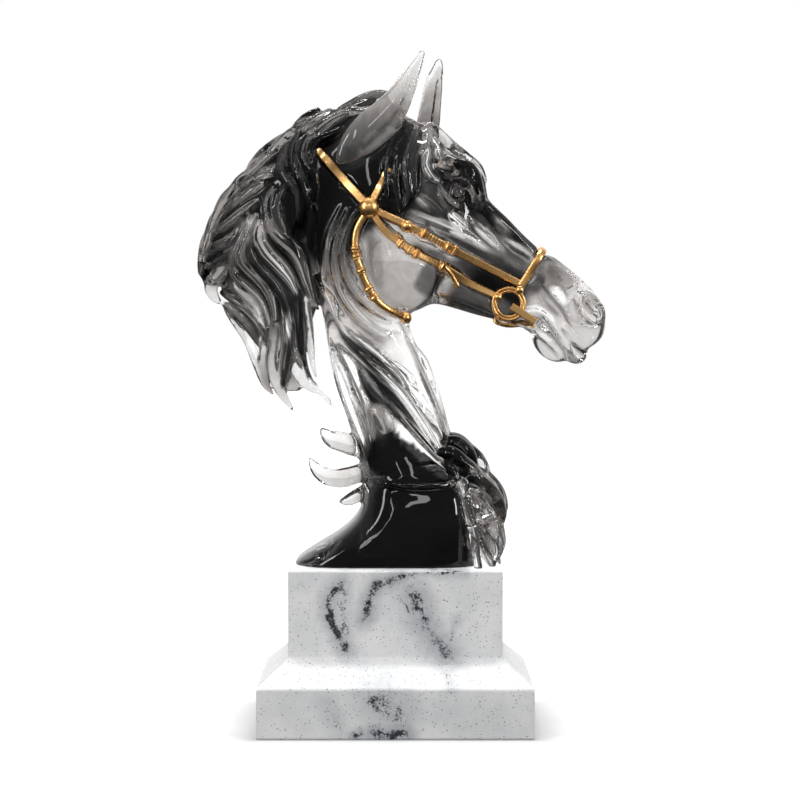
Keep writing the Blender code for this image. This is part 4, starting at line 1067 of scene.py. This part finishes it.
# Where the ink lies in the side view: middle, radii, turn in degrees, how dark, how soft its edge,
# and how square its outline (2 for an oval)
INK_ZONES = (
    ((-60, 150), (60, 70), 0, 0.6, 0.5, 2),
    ((-52, 205), (44, 36), 35, 0.9, 0.6, 2),
    ((-20, 205), (34, 34), 0, 1.0, 0.5, 2),
    ((-30, 178), (17, 30), -8, 1.0, 0.5, 2),
    ((-97, 166), (13, 20), 0, 0.8, 0.5, 2),
    ((-66, 104), (40, 24), 0, 0.28, 0.7, 2),
    ((-10, 96), (34, 46), 20, 0.12, 0.5, 2),
    ((-19, 123), (15, 10), -45, 0.36, 0.6, 2),
    ((0, 78), (33, 7.5), -57, 0.8, 0.5, 2),
    ((0, 63), (13, 10), -20, 1.0, 0.4, 2),
    ((-10, 77), (8, 10), 0, 0.48, 0.6, 2),
    ((-10.3, 106.4), (26, 3.8), -43, 0.95, 0.45, 2),
    ((13, 86), (26, 5.5), -68, 0.0, 0.3, 2),
    ((11, 63), (23, 3.0), -48, 0.0, 0.35, 2),
    ((-24, 98), (17, 5.5), -75, 0.02, 0.3, 2),
    ((30, 215), (22, 22), 0, 0.62, 0.6, 2),
    ((34, 198), (22, 16), -40, 0.72, 0.5, 2),
    ((66, 176), (42, 8), -42, 0.9, 0.5, 2),
    ((36, 172), (38, 14), -35, 0.74, 0.5, 2),
    ((62, 166), (20, 6), -38, 0.55, 0.5, 2),
    ((58, 144), (22, 13), -25, 0.92, 0.5, 2),
    ((40, 140), (26, 9), -20, 0.66, 0.5, 2),
    ((3.6, 156.7), (28, 27), 0, 0.32, 0.25, 2),
    ((-10.5, 163), (3.4, 16), 8, 0.52, 0.3, 2),
    ((18, 152), (6.5, 9), -30, 0.7, 0.3, 3),
    ((22, 163), (15, 3.5), -28, 0.72, 0.4, 2),
    ((98, 130), (30, 30), 0, 0.19, 0.4, 2),
    ((84, 142), (9, 6), -40, 0.38, 0.5, 2),
    ((87, 153), (12, 6), -42, 0.42, 0.6, 2),
    ((-26, 228), (26, 14), 25, 1.0, 0.3, 2),
    ((-4, 222), (20, 10), 20, 0.95, 0.3, 2),
    ((-12.5, 231.5), (21, 8.5), 46, 0.4, 0.25, 2),
    ((-40, 62), (22, 24), 0, 0.06, 0.4, 2),
    ((-30, 18), (29, 27), 0, 0.66, 0.4, 2),
    ((-22, -7), (40, 17), 22, 1.0, 0.25, 2),
    ((4, 54), (19.5, 9.5), -16, 1.0, 0.2, 3),
    ((14.5, 60), (26, 4.3), -43, 0.0, 0.14, 2),
    ((14, 18), (25.5, 28), 0, 1.0, 0.12, 5),
    ((46, 36), (12, 34), 10, 0.3, 0.5, 2),
)


# Where the resin is cloudy, and how cloudy, in the same order
MILK_ZONES = (
    ((-14.5, 229.5), (23, 11), 46, 0.6, 0.5, 2),
    ((4, 252), (10, 8), 60, 0.3, 0.5, 2),
    ((3.6, 156.7), (26, 25), 0, 0.12, 0.2, 2),
    ((40, 141), (17, 7), -25, 0.6, 0.4, 2),
    ((-9, 78), (9, 11), 0, 0.35, 0.6, 2),
    ((-19, 123), (15, 10), -45, 0.25, 0.5, 2),
    ((88, 138), (12, 9), -40, 0.25, 0.5, 2),
    ((-62, 136), (16, 22), 20, 0.2, 0.6, 2),
)


def spread(points, zones, start):
    """A measure that is `start` outside every zone, at points of the drawn bust."""
    level = np.full(len(points), start)
    for (cx, cz), (rx, rz), turn, inside, soft, square in zones:
        c, s = math.cos(math.radians(turn)), math.sin(math.radians(turn))
        dx, dz = points[:, 0] - cx, points[:, 2] - cz
        along, up = np.abs((c * dx + s * dz) / rx), np.abs((c * dz - s * dx) / rz)
        far = (along**square + up**square) ** (1 / square)
        share = np.clip((1 + soft / 2 - far) / soft, 0, 1)
        share = share * share * (3 - 2 * share)
        level += share * (inside - level)
    return level


def painted_shade_and_highlight(relief):
    """Painted shade that darkens the ink in the hollows, and a painted highlight that thins it on the
    ridges.
    """
    hollow = np.clip(-relief / 0.8, 0, 1)
    ridge = np.clip(relief / 1.2, 0, 1)
    return hollow * 0.3 - ridge * 0.1


class Wire:
    """A socket of a node tree. Arithmetic on it adds Math nodes."""

    def __init__(self, tree, socket=None):
        self.tree, self.socket = tree, socket

    def node(self, kind, settings=None, inputs=None, output=0):
        """Adds a node: its settings first, then the values or links of its sockets."""
        made = self.tree.nodes.new(kind)
        for name, value in (settings or {}).items():
            if name == "stops":
                for stop, (place, colour) in zip(self._stops(made, len(value)), value):
                    stop.position, stop.color = place, (*colour, 1)
            else:
                setattr(made, name, value)
        for name, value in (inputs or {}).items():
            if isinstance(value, Wire):
                self.tree.links.new(value.socket, made.inputs[name])
            else:
                made.inputs[name].default_value = value
        return Wire(self.tree, made.outputs[output])

    @staticmethod
    def _stops(made, count):
        """A colour ramp's stops, with enough added to make up the count."""
        stops = made.color_ramp.elements
        while len(stops) < count:
            stops.new(0.5)
        return stops

    def math(self, operation, *values, clamp=False):
        """A Math node's result; the values may be numbers or wires."""
        settings = {"operation": operation, "use_clamp": clamp}
        return self.node("ShaderNodeMath", settings, dict(enumerate(values)))

    def __add__(self, other):
        return self.math("ADD", self, other)

    def __radd__(self, other):
        return self.math("ADD", other, self)

    def __sub__(self, other):
        return self.math("SUBTRACT", self, other)

    def __rsub__(self, other):
        return self.math("SUBTRACT", other, self)

    def __mul__(self, other):
        return self.math("MULTIPLY", self, other)

    def __rmul__(self, other):
        return self.math("MULTIPLY", other, self)

    def __truediv__(self, other):
        return self.math("DIVIDE", self, other)

    def __rtruediv__(self, other):
        return self.math("DIVIDE", other, self)

    def __pow__(self, other):
        return self.math("POWER", self, other)

    def clipped(self):
        """This value held between 0 and 1."""
        return self.math("ADD", self, 0.0, clamp=True)

    def smooth(self, low, high):
        """0 below low, 1 above high and a soft step between."""
        settings = {"interpolation_type": "SMOOTHSTEP"}
        return self.node("ShaderNodeMapRange", settings, {"Value": self, "From Min": low, "From Max": high})

    def blend(self, first, second):
        """Between two colours, by this value."""
        return self.node("ShaderNodeMix", {"data_type": "RGBA"}, {0: self, 6: first, 7: second}, 2)


def new_material(name):
    """An empty material, its first wire and its Principled shader."""
    material = bpy.data.materials.new(name)
    material.use_nodes = True
    shader = material.node_tree.nodes["Principled BSDF"]
    return material, Wire(material.node_tree), shader


def feed(wire, shader, **links):
    """Connects wires to a shader's sockets by their names, with _ for a space."""
    for name, value in links.items():
        wire.tree.links.new(value.socket, shader.inputs[name.replace("_", " ")])


def noise(wire, place, scale, detail=3.0, rough=0.5, twist=0.0):
    """Soft noise between 0 and 1, with `scale` waves to the metre."""
    values = {"Vector": place, "Scale": scale, "Detail": detail, "Roughness": rough, "Distortion": twist}
    return wire.node("ShaderNodeTexNoise", {}, values)


def bumped(wire, height, distance, strength=1.0):
    """A surface direction tilted by a height map, `distance` metres deep."""
    return wire.node("ShaderNodeBump", {}, {"Height": height, "Distance": distance, "Strength": strength})


def smoky_resin(colours):
    """Clear resin with black ink swirled through it: tinted glass, with a duller skin where it is cloudy."""
    material, wire, shader = new_material("smoky_resin")
    shader.inputs["Transmission Weight"].default_value = 1.0
    shader.inputs["IOR"].default_value = colours.resin_ior
    shader.inputs["Specular Tint"].default_value = (0.45, 0.45, 0.45, 1)
    place = wire.node("ShaderNodeTexCoord", output=3)
    ink = wire.node("ShaderNodeAttribute", {"attribute_name": "ink"}, output=2)
    swirl = noise(wire, place, 34.0, 3.0, 0.55, 1.6)
    wisp = noise(wire, place, 95.0, 2.0, 0.5, 2.2)
    ink = (ink + (swirl - 0.5) * colours.swirl + (wisp - 0.5) * (0.5 * colours.swirl)).clipped()
    stops = (
        (0.0, (0.96, 0.96, 0.965)), (0.22, (0.625, 0.605, 0.59)), (0.45, (0.26, 0.243, 0.232)),
        (0.68, (0.05, 0.048, 0.047)), (0.85, (0.006, 0.006, 0.006)), (1.0, (0.001, 0.001, 0.001)),
    )
    colour = wire.node("ShaderNodeValToRGB", {"stops": stops}, {"Fac": ink})
    ripple = noise(wire, place, 70.0, 1.0, 0.4, 0.5)
    sheen = 0.012 + 0.02 * noise(wire, place, 20.0, 2.0)
    ripples = bumped(wire, ripple, 0.0004, 0.35)
    feed(wire, shader, Base_Color=colour, Roughness=sheen, Normal=ripples)
    milk = wire.node("ShaderNodeAttribute", {"attribute_name": "milk"}, output=2)
    clear = Wire(wire.tree, shader.outputs[0])
    cloudy = wire.node("ShaderNodeBsdfPrincipled", {}, {
        "Base Color": colour, "Roughness": 0.4 + 0.2 * swirl, "Coat Weight": 1.0, "Coat Roughness": 0.03,
        "Normal": ripples})
    share = (milk * (0.6 + 0.8 * wisp)).clipped()
    mixed = wire.node("ShaderNodeMixShader", {}, {0: share, 1: clear, 2: cloudy})
    wire.tree.links.new(mixed.socket, wire.tree.nodes["Material Output"].inputs["Surface"])
    return material


def gilt(colours):
    """Satin gold plate, paler on the high parts, partly as rubbed gilding and partly as painted highlight,
    with painted shade of deep brown in the hollows.
    """
    material, wire, shader = new_material("satin_gilt")
    shader.inputs["Metallic"].default_value = 1.0
    place = wire.node("ShaderNodeTexCoord", output=3)
    point = wire.node("ShaderNodeNewGeometry", output=7)
    cloud = noise(wire, place, 180.0, 3.0, 0.6)
    grain = noise(wire, place, 1400.0, 2.0, 0.6)
    high_parts = point.smooth(0.46, 0.56)
    deep, mid, bright = ((*c, 1) for c in (colours.gilt_deep, colours.gilt_colour, colours.gilt_bright))
    # Painted shade: deep brown in the hollows; the high parts paler, partly as painted highlight
    colour = (cloud * 0.5 + high_parts * 0.5).smooth(0.2, 0.8).blend(high_parts.blend(deep, mid), bright)
    rough = 0.18 + 0.14 * cloud + 0.06 * grain
    height = 0.6 * cloud + 0.4 * grain
    feed(wire, shader, Base_Color=colour, Roughness=rough, Normal=bumped(wire, height, 0.0002, 0.4))
    return material


# Smoky veins on the front of the marble: route over the side view in metres, half-width, how dark
VEINS = (
    (((-0.0275, 0.08), (-0.035, 0.0705), (-0.0345, 0.061), (-0.0285, 0.05),
      (-0.0258, 0.0445)), 0.0024, 0.8),
    (((-0.0273, 0.0792), (-0.0282, 0.066), (-0.0263, 0.0541)), 0.0026, 0.45),
    (((-0.0158, 0.0605), (-0.0135, 0.0712), (-0.009, 0.0795), (0.004, 0.0828)), 0.0024, 0.85),
    (((0.004, 0.0828), (0.02, 0.0848), (0.0352, 0.0855)), 0.0014, 0.6),
    (((0.0105, 0.0735), (0.014, 0.061), (0.0205, 0.05), (0.027, 0.0415)), 0.0038, 0.85),
    (((0.0185, 0.053), (0.0265, 0.042)), 0.0022, 1.0),
    (((0.0311, 0.0604), (0.0272, 0.0425)), 0.0013, 0.5),
    (((0.0029, 0.0703), (0.0066, 0.0651)), 0.0007, 0.8),
    (((0.0255, 0.04), (0.0285, 0.028)), 0.002, 0.5),
    (((-0.0105, 0.0215), (0.0, 0.013)), 0.0058, 0.62),
    (((-0.0105, 0.0025), (0.0045, 0.003)), 0.003, 0.95),
    (((-0.021, 0.0025), (-0.0185, 0.004)), 0.0017, 0.95),
    (((-0.035, 0.0195), (-0.0285, 0.005)), 0.003, 0.4),
    (((0.03, 0.014), (0.05, 0.008)), 0.005, 0.25),
)


def veined_marble(colours):
    """Pale cast marble with smoky veins, a cloudy ground and fine dark pits."""
    material, wire, shader = new_material("veined_marble")
    place = wire.node("ShaderNodeTexCoord", output=3)
    waves = {"Vector": place, "Scale": 90.0, "Detail": 5.0, "Roughness": 0.6}
    warp = wire.node("ShaderNodeTexNoise", {}, waves, 1)
    shift = wire.node("ShaderNodeVectorMath", {"operation": "MULTIPLY_ADD"}, {
        0: warp, 1: (0.008,) * 3, 2: place})
    flat = wire.node("ShaderNodeVectorMath", {"operation": "MULTIPLY_ADD"}, {
        0: shift, 1: (1, 0, 1), 2: (-0.004, 0, -0.004)})

    def vector(operation, inputs, output=0):
        """One result of a Vector Math node."""
        return wire.node("ShaderNodeVectorMath", {"operation": operation}, inputs, output)

    haze = wire.math("ADD", 0.0, 0.0)
    core = haze
    for route, wide, dark in VEINS:
        for (ax, az), (bx, bz) in zip(route, route[1:]):
            start, run = (ax, 0, az), (bx - ax, 0, bz - az)
            long = math.hypot(bx - ax, bz - az)
            from_start = vector("SUBTRACT", {0: flat, 1: start})
            share = (vector("DOT_PRODUCT", {0: from_start, 1: run}, 1) / long**2).clipped()
            nearest = vector("SCALE", {0: run, "Scale": share})
            far = vector("DISTANCE", {0: from_start, 1: nearest}, 1) / wide
            haze = haze.math("MAXIMUM", haze, (1 - far.smooth(0.0, 4.0)) * dark)
            core = core.math("MAXIMUM", core, (1 - far.smooth(0.2, 1.5)) * dark)
    patchy = noise(wire, place, 75.0, 2.0, 0.5)
    ragged = noise(wire, place, 260.0, 5.0, 0.75, 0.5)
    fine = noise(wire, place, 900.0, 3.0, 0.75)
    mottled = 0.3 * patchy + 0.35 * ragged + 0.35 * fine
    grain = (mottled + core * 0.17).smooth(0.585, 0.67) * core.smooth(0.05, 0.4)
    faint = noise(wire, place, 30.0, 5.0, 0.65, 0.9).smooth(0.58, 0.85) * 0.3
    pits = wire.node("ShaderNodeTexVoronoi", {}, {"Vector": place, "Scale": 560.0, "Randomness": 1.0})
    size = noise(wire, place, 330.0, 2.0, 0.8)
    pit = 1 - (pits - (size - 0.32) * 0.5).smooth(0.0, 0.1)
    pale, cloudy, smoky, ink = ((*c, 1) for c in (
        colours.marble_pale, colours.marble_cloudy, colours.vein_smoky, colours.vein_dark))
    ground = (0.6 * noise(wire, place, 60.0, 5.0, 0.6) + 0.4 * fine).smooth(0.36, 0.66).blend(pale, cloudy)
    veined = (haze * (0.25 + 1.1 * ragged) + faint).clipped().blend(ground, smoky)
    veined = grain.blend(veined, ink)
    colour = (pit * 0.75).blend(veined, ink)
    rough = 0.42 + 0.2 * fine + 0.2 * pit
    height = fine * 0.4 - pit
    feed(wire, shader, Base_Color=colour, Roughness=rough, Normal=bumped(wire, height, 0.0003, 0.5))
    return material


def pale_floor():
    """A matt white floor with a painted shadow round the plinth, lit from within so that it meets the
    background.
    """
    material, wire, shader = new_material("pale_floor")
    place = wire.node("ShaderNodeTexCoord", output=3)
    axes = wire.node("ShaderNodeSeparateXYZ", {}, {0: place})
    x, y = (Wire(wire.tree, axes.socket.node.outputs[n]) for n in (0, 1))

    def past(axis, edge):
        """How far a place lies beyond the plinth's edge along one axis."""
        over = axis.math("ABSOLUTE", axis) - edge
        return over.math("MAXIMUM", over, 0.0)

    painted_shadow_reach = 0.055
    beside, before = past(x, PLINTH_HIGH.x), past(y, PLINTH_HIGH.y)
    # Painted shadow: the floor's colour darkens towards the plinth's foot
    near = (1 - (beside * beside + before * before) ** 0.5 / painted_shadow_reach).clipped() ** 2
    colour = near.blend((0.9, 0.9, 0.9, 1), (0.5, 0.5, 0.5, 1))
    # The overhead light fades away from the figurine, and the floor's own light makes up for it
    light_height_squared = 1.32
    fading = 1 / (1 + (x * x + y * y) / light_height_squared) ** 2
    shader.inputs["Roughness"].default_value = 0.8
    shader.inputs["Emission Strength"].default_value = 1.0
    glow = fading.blend((0.76, 0.76, 0.76, 1), (0.07, 0.07, 0.07, 1))
    feed(wire, shader, Base_Color=colour, Emission_Color=glow)
    return material


def placed(points):
    """Drawn millimetres to the bust's own place and size, in metres."""
    return np.asarray(points) * SCALE * MM + np.array([0, 0, BUST_LOW.z])


def piece(name, points, faces, material):
    """An object from points in metres."""
    mesh = bpy.data.meshes.new(name)
    mesh.from_pydata(np.asarray(points).tolist(), [], [list(map(int, f)) for f in faces])
    mesh.validate()
    mesh.materials.append(material)
    mesh.shade_smooth()
    thing = bpy.data.objects.new(name, mesh)
    bpy.context.scene.collection.objects.link(thing)
    return thing


def applied(thing):
    """The object's mesh as its modifiers leave it."""
    graph = bpy.context.evaluated_depsgraph_get()
    mesh = bpy.data.meshes.new_from_object(thing.evaluated_get(graph))
    thing.modifiers.clear()
    thing.data = mesh
    return mesh


def relaxed(points, quads, rounds=2, share=0.5):
    """Each point drawn towards its neighbours and back out, which takes the grid's steps off."""
    ends = np.vstack([quads[:, [0, 1]], quads[:, [1, 2]], quads[:, [2, 3]], quads[:, [3, 0]]])
    count = np.bincount(ends.ravel(), minlength=len(points))[:, None]
    for move in (share, -share * 1.04) * rounds:
        total = np.zeros_like(points)
        for n in range(3):
            total[:, n] = np.bincount(ends[:, 0], points[ends[:, 1], n], len(points))
            total[:, n] += np.bincount(ends[:, 1], points[ends[:, 0], n], len(points))
        points = points + move * (total / count - points)
    return points


class BustSettings(bpy.types.PropertyGroup):
    """Sizes and finish of the resin."""

    cell: bpy.props.FloatProperty(
        name="Clay cell", description="Grid step of the clay, in millimetres: smaller keeps finer locks",
        default=0.7, min=0.5, max=2.0)
    faces: bpy.props.IntProperty(
        name="Triangles", description="Triangles that the finished resin is thinned to",
        default=190000, min=5000)
    resin_ior: bpy.props.FloatProperty(
        name="Refraction", description="How strongly the resin bends light",
        default=1.5, min=1.0, max=2.0)
    swirl: bpy.props.FloatProperty(
        name="Swirl", description="How far the ink wanders from its place", default=0.3, min=0.0, max=2.0)


class BridleSettings(bpy.types.PropertyGroup):
    """Sizes and finish of the bridle."""

    strap_wide: bpy.props.FloatProperty(
        name="Strap width", description="Width of the bridle's straps, in millimetres",
        default=4.3, min=2.0, max=8.0)
    gilt_colour: bpy.props.FloatVectorProperty(
        name="Gold", description="The gold plate", subtype="COLOR", default=(1.0, 0.44, 0.1))
    gilt_bright: bpy.props.FloatVectorProperty(
        name="Bright gold", description="Gold on the high parts", subtype="COLOR",
        default=(1.0, 0.6, 0.24))
    gilt_deep: bpy.props.FloatVectorProperty(
        name="Deep gold", description="Gold in the hollows", subtype="COLOR", default=(0.24, 0.08, 0.012))


class PlinthSettings(bpy.types.PropertyGroup):
    """Colours of the marble."""

    marble_pale: bpy.props.FloatVectorProperty(
        name="Ground", description="The marble's palest colour", subtype="COLOR",
        default=(0.84, 0.84, 0.835))
    marble_cloudy: bpy.props.FloatVectorProperty(
        name="Clouds", description="Its cloudy patches", subtype="COLOR", default=(0.72, 0.727, 0.74))
    vein_smoky: bpy.props.FloatVectorProperty(
        name="Smoke", description="The thin smoke round the veins", subtype="COLOR",
        default=(0.3, 0.325, 0.36))
    vein_dark: bpy.props.FloatVectorProperty(
        name="Vein", description="The veins' dark middle", subtype="COLOR",
        default=(0.022, 0.025, 0.032))


class StudioSettings(bpy.types.PropertyGroup):
    """Camera and light."""

    lens: bpy.props.FloatProperty(
        name="Lens", description="Focal length", default=119.7, min=20.0, unit="CAMERA")
    tilt: bpy.props.FloatProperty(
        name="Tilt", description="How far the camera looks down", subtype="ANGLE",
        default=math.radians(2.217))
    key_power: bpy.props.FloatProperty(
        name="Top light", description="Power of the softbox overhead",
        default=10.0, min=0.0, unit="POWER")
    side_power: bpy.props.FloatProperty(
        name="Side lights", description="Power of each strip at the side",
        default=4.0, min=0.0, unit="POWER")
    front_power: bpy.props.FloatProperty(
        name="Front lights", description="Power of each dim strip in front",
        default=0.8, min=0.0, unit="POWER")


class HORSEHEAD_OT_bust(bpy.types.Operator):
    """Sculpts the resin horse head and casts it"""

    bl_idname = "horsehead.bust"
    bl_label = "Resin bust"

    def execute(self, context):
        settings = context.scene.horse_bust
        clay, points, quads, _ = sculpted(settings.cell, context.scene.horse_bridle.strap_wide)
        thing = piece("horse_bust_resin", relaxed(points, quads), quads, smoky_resin(settings))
        thin = thing.modifiers.new("thinned", "DECIMATE")
        thin.ratio = min(settings.faces / (2 * len(quads)), 1.0)
        mesh = applied(thing)
        drawn = np.empty(3 * len(mesh.vertices), np.float32)
        mesh.vertices.foreach_get("co", drawn)
        drawn = drawn.reshape(-1, 3).astype(float)
        ink = mesh.attributes.new("ink", "FLOAT", "POINT")
        under = spread(drawn, INK_ZONES, PLAIN_INK) * (1 - clay.read(clay.cover, drawn))
        cast = under + clay.read(clay.ink, drawn)
        # The ink also takes painted shade in the hollows and a painted highlight on the ridges
        ink.data.foreach_set("value", (cast + painted_shade_and_highlight(clay.relief(drawn))).astype(np.float32))
        milk = mesh.attributes.new("milk", "FLOAT", "POINT")
        milk.data.foreach_set("value", spread(drawn, MILK_ZONES, 0.0).astype(np.float32))
        mesh.vertices.foreach_set("co", placed(drawn).astype(np.float32).ravel())
        mesh.update()
        mesh.shade_smooth()
        mesh.normals_split_custom_set_from_vertices(clay.slopes(drawn, 0.8 * settings.cell).tolist())
        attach(thing, "root")
        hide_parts("horse_bust")
        # Light passes through clear resin, so the bust casts no hard shadow on the floor
        thing.visible_shadow = False
        return {"FINISHED"}


class HORSEHEAD_OT_bridle(bpy.types.Operator):
    """Casts the gilt bridle that lies on the head"""

    bl_idname = "horsehead.bridle"
    bl_label = "Gilt bridle"

    def execute(self, context):
        settings = context.scene.horse_bridle
        *_, (straps, balls, rings) = sculpted(context.scene.horse_bust.cell, settings.strap_wide)
        metal = gilt(settings)
        casting, beads, bits = Casting(), Casting(), Casting()
        for strap in straps:
            casting.sweep(strap.path, strap.out, strap.wide, strap.thick, strap.square)
        for centre, radius, flat in balls:
            beads.ball(centre, radius, flat)
        for centre in rings:
            for off, tube in RING_WIRES:
                bits.ring(centre, RING_RADIUS + off, tube)
        for name, made in (("bridle_straps", casting), ("bridle_knots", beads), ("bit_rings", bits)):
            thing = piece(name, placed(made.points), made.faces, metal)
            thing.data.set_sharp_from_angle(angle=math.radians(36))
            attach(thing, "root")
            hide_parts("bridle")
        return {"FINISHED"}


class HORSEHEAD_OT_plinth(bpy.types.Operator):
    """Gives the stepped plinth its marble"""

    bl_idname = "horsehead.plinth"
    bl_label = "Marble plinth"

    def execute(self, context):
        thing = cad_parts["plinth"]
        thing.data.materials.clear()
        thing.data.materials.append(veined_marble(context.scene.horse_plinth))
        return {"FINISHED"}


class HORSEHEAD_OT_stage(bpy.types.Operator):
    """Sets the camera, the floor, the softboxes and the white studio round the figurine"""

    bl_idname = "horsehead.stage"
    bl_label = "Studio"

    def execute(self, context):
        settings = context.scene.horse_studio
        camera(context, settings)
        corners = [(-6, -6, 0), (6, -6, 0), (6, 6, 0), (-6, 6, 0)]
        floor = piece("floor", corners, [(0, 1, 2, 3)], pale_floor())
        floor.visible_glossy = False
        floor.visible_diffuse = False
        side, front = settings.side_power, settings.front_power
        softbox(context, "top_light", (0.0, 0.06, 1.15), (0.8, 0.1), settings.key_power)
        softbox(context, "left_strip", (-0.8, -0.7, 0.6), (0.12, 0.6), side)
        softbox(context, "right_strip", (0.85, -0.7, 0.55), (0.07, 0.5), side)
        softbox(context, "front_strip_left", (-0.5, -1.2, 0.75), (0.06, 0.4), front, roll=35)
        softbox(context, "front_strip_right", (0.0, -1.3, 0.85), (0.06, 0.4), front, roll=-20)
        white_studio(context)
        context.scene.view_settings.view_transform = "Standard"
        return {"FINISHED"}


def camera(context, settings):
    """The photograph's view: level with the neck, looking slightly down."""
    data = bpy.data.cameras.new("camera")
    data.lens = settings.lens
    eye_point = bpy.data.objects.new("camera", data)
    context.scene.collection.objects.link(eye_point)
    place = Matrix.Translation(CAMERA_AT)
    eye_point.matrix_world = place @ Matrix.Rotation(math.pi / 2 - settings.tilt, 4, "X")
    context.scene.camera = eye_point


def softbox(context, name, place, size, power, roll=0):
    """A rectangular lamp that points at the neck, turned about that line by roll (degrees)."""
    data = bpy.data.lights.new(name, "AREA")
    data.shape = "RECTANGLE"
    data.size, data.size_y = size
    data.energy = power
    box = bpy.data.objects.new(name, data)
    context.scene.collection.objects.link(box)
    box.location = place
    aim = Vector(LIT_POINT) - box.location
    turned = aim.to_track_quat("-Z", "Y").to_matrix() @ Matrix.Rotation(math.radians(roll), 3, "Z")
    box.rotation_euler = turned.to_euler()


def white_studio(context):
    """White to the camera; to the resin and the gold, white panels with dark gaps between them."""
    world = bpy.data.worlds.new("white_studio")
    world.use_nodes = True
    context.scene.world = world
    wire = Wire(world.node_tree)
    paths = wire.node("ShaderNodeLightPath")

    def ray(name):
        """1 for rays of one kind and 0 for the rest."""
        return Wire(wire.tree, paths.socket.node.outputs[name])

    way = wire.node("ShaderNodeTexCoord", output=0)
    axes = wire.node("ShaderNodeSeparateXYZ", {}, {0: way})
    x, y, z = (Wire(wire.tree, axes.socket.node.outputs[n]) for n in range(3))
    # What the surfaces mirror is bright behind the figurine and dim in front, and dark below
    behind = y.smooth(0.45, 0.8)
    # What shows through the resin is four white panels with dark gaps
    turn = y.math("ARCTAN2", y, x)
    panels = turn.math("COSINE", turn * 4.0).smooth(-0.9, -0.35)
    mirrored = (behind * 0.6 + 0.34) * (z.smooth(-0.5, 0.2) * 0.9 + 0.1)
    through_resin = panels * 0.93 + 0.03
    seen = ray("Is Transmission Ray") * through_resin + (1 - ray("Is Transmission Ray")) * mirrored
    sharp = ray("Is Glossy Ray")
    light = sharp * seen + (1 - sharp) * (z.smooth(-0.1, 0.1) * 0.31 + 0.185)
    light = ray("Is Camera Ray") + (1 - ray("Is Camera Ray")) * light
    background = world.node_tree.nodes["Background"]
    background.inputs["Color"].default_value = (1, 1, 1, 1)
    wire.tree.links.new(light.socket, background.inputs["Strength"])


class HORSEHEAD_PT_panel(bpy.types.Panel):
    """Lists the figurine's parts"""

    bl_label = "Horse Head"
    bl_idname = "HORSEHEAD_PT_panel"
    bl_space_type = "VIEW_3D"
    bl_region_type = "UI"
    bl_category = "Horse Head"

    def draw(self, context):
        for operator in OPERATORS:
            self.layout.operator(operator.bl_idname)
        for name in SETTINGS:
            box = self.layout.box()
            group = getattr(context.scene, name)
            for value in group.bl_rna.properties.keys():
                if value not in {"rna_type", "name"}:
                    box.prop(group, value)


OPERATORS = (HORSEHEAD_OT_bust, HORSEHEAD_OT_bridle, HORSEHEAD_OT_plinth, HORSEHEAD_OT_stage)
SETTINGS = {
    "horse_bust": BustSettings,
    "horse_bridle": BridleSettings,
    "horse_plinth": PlinthSettings,
    "horse_studio": StudioSettings,
}


def register():
    """Registers the settings, the operators and the panel."""
    for name, group in SETTINGS.items():
        bpy.utils.register_class(group)
        setattr(bpy.types.Scene, name, bpy.props.PointerProperty(type=group))
    for part in (*OPERATORS, HORSEHEAD_PT_panel):
        bpy.utils.register_class(part)


def unregister():
    """Takes them away again."""
    for part in (HORSEHEAD_PT_panel, *reversed(OPERATORS)):
        bpy.utils.unregister_class(part)
    for name, group in SETTINGS.items():
        delattr(bpy.types.Scene, name)
        bpy.utils.unregister_class(group)


def main():
    """Builds everything on the frame."""
    register()
    bpy.ops.horsehead.bust()
    bpy.ops.horsehead.bridle()
    bpy.ops.horsehead.plinth()
    bpy.ops.horsehead.stage()


if __name__ == "__main__":
    main()
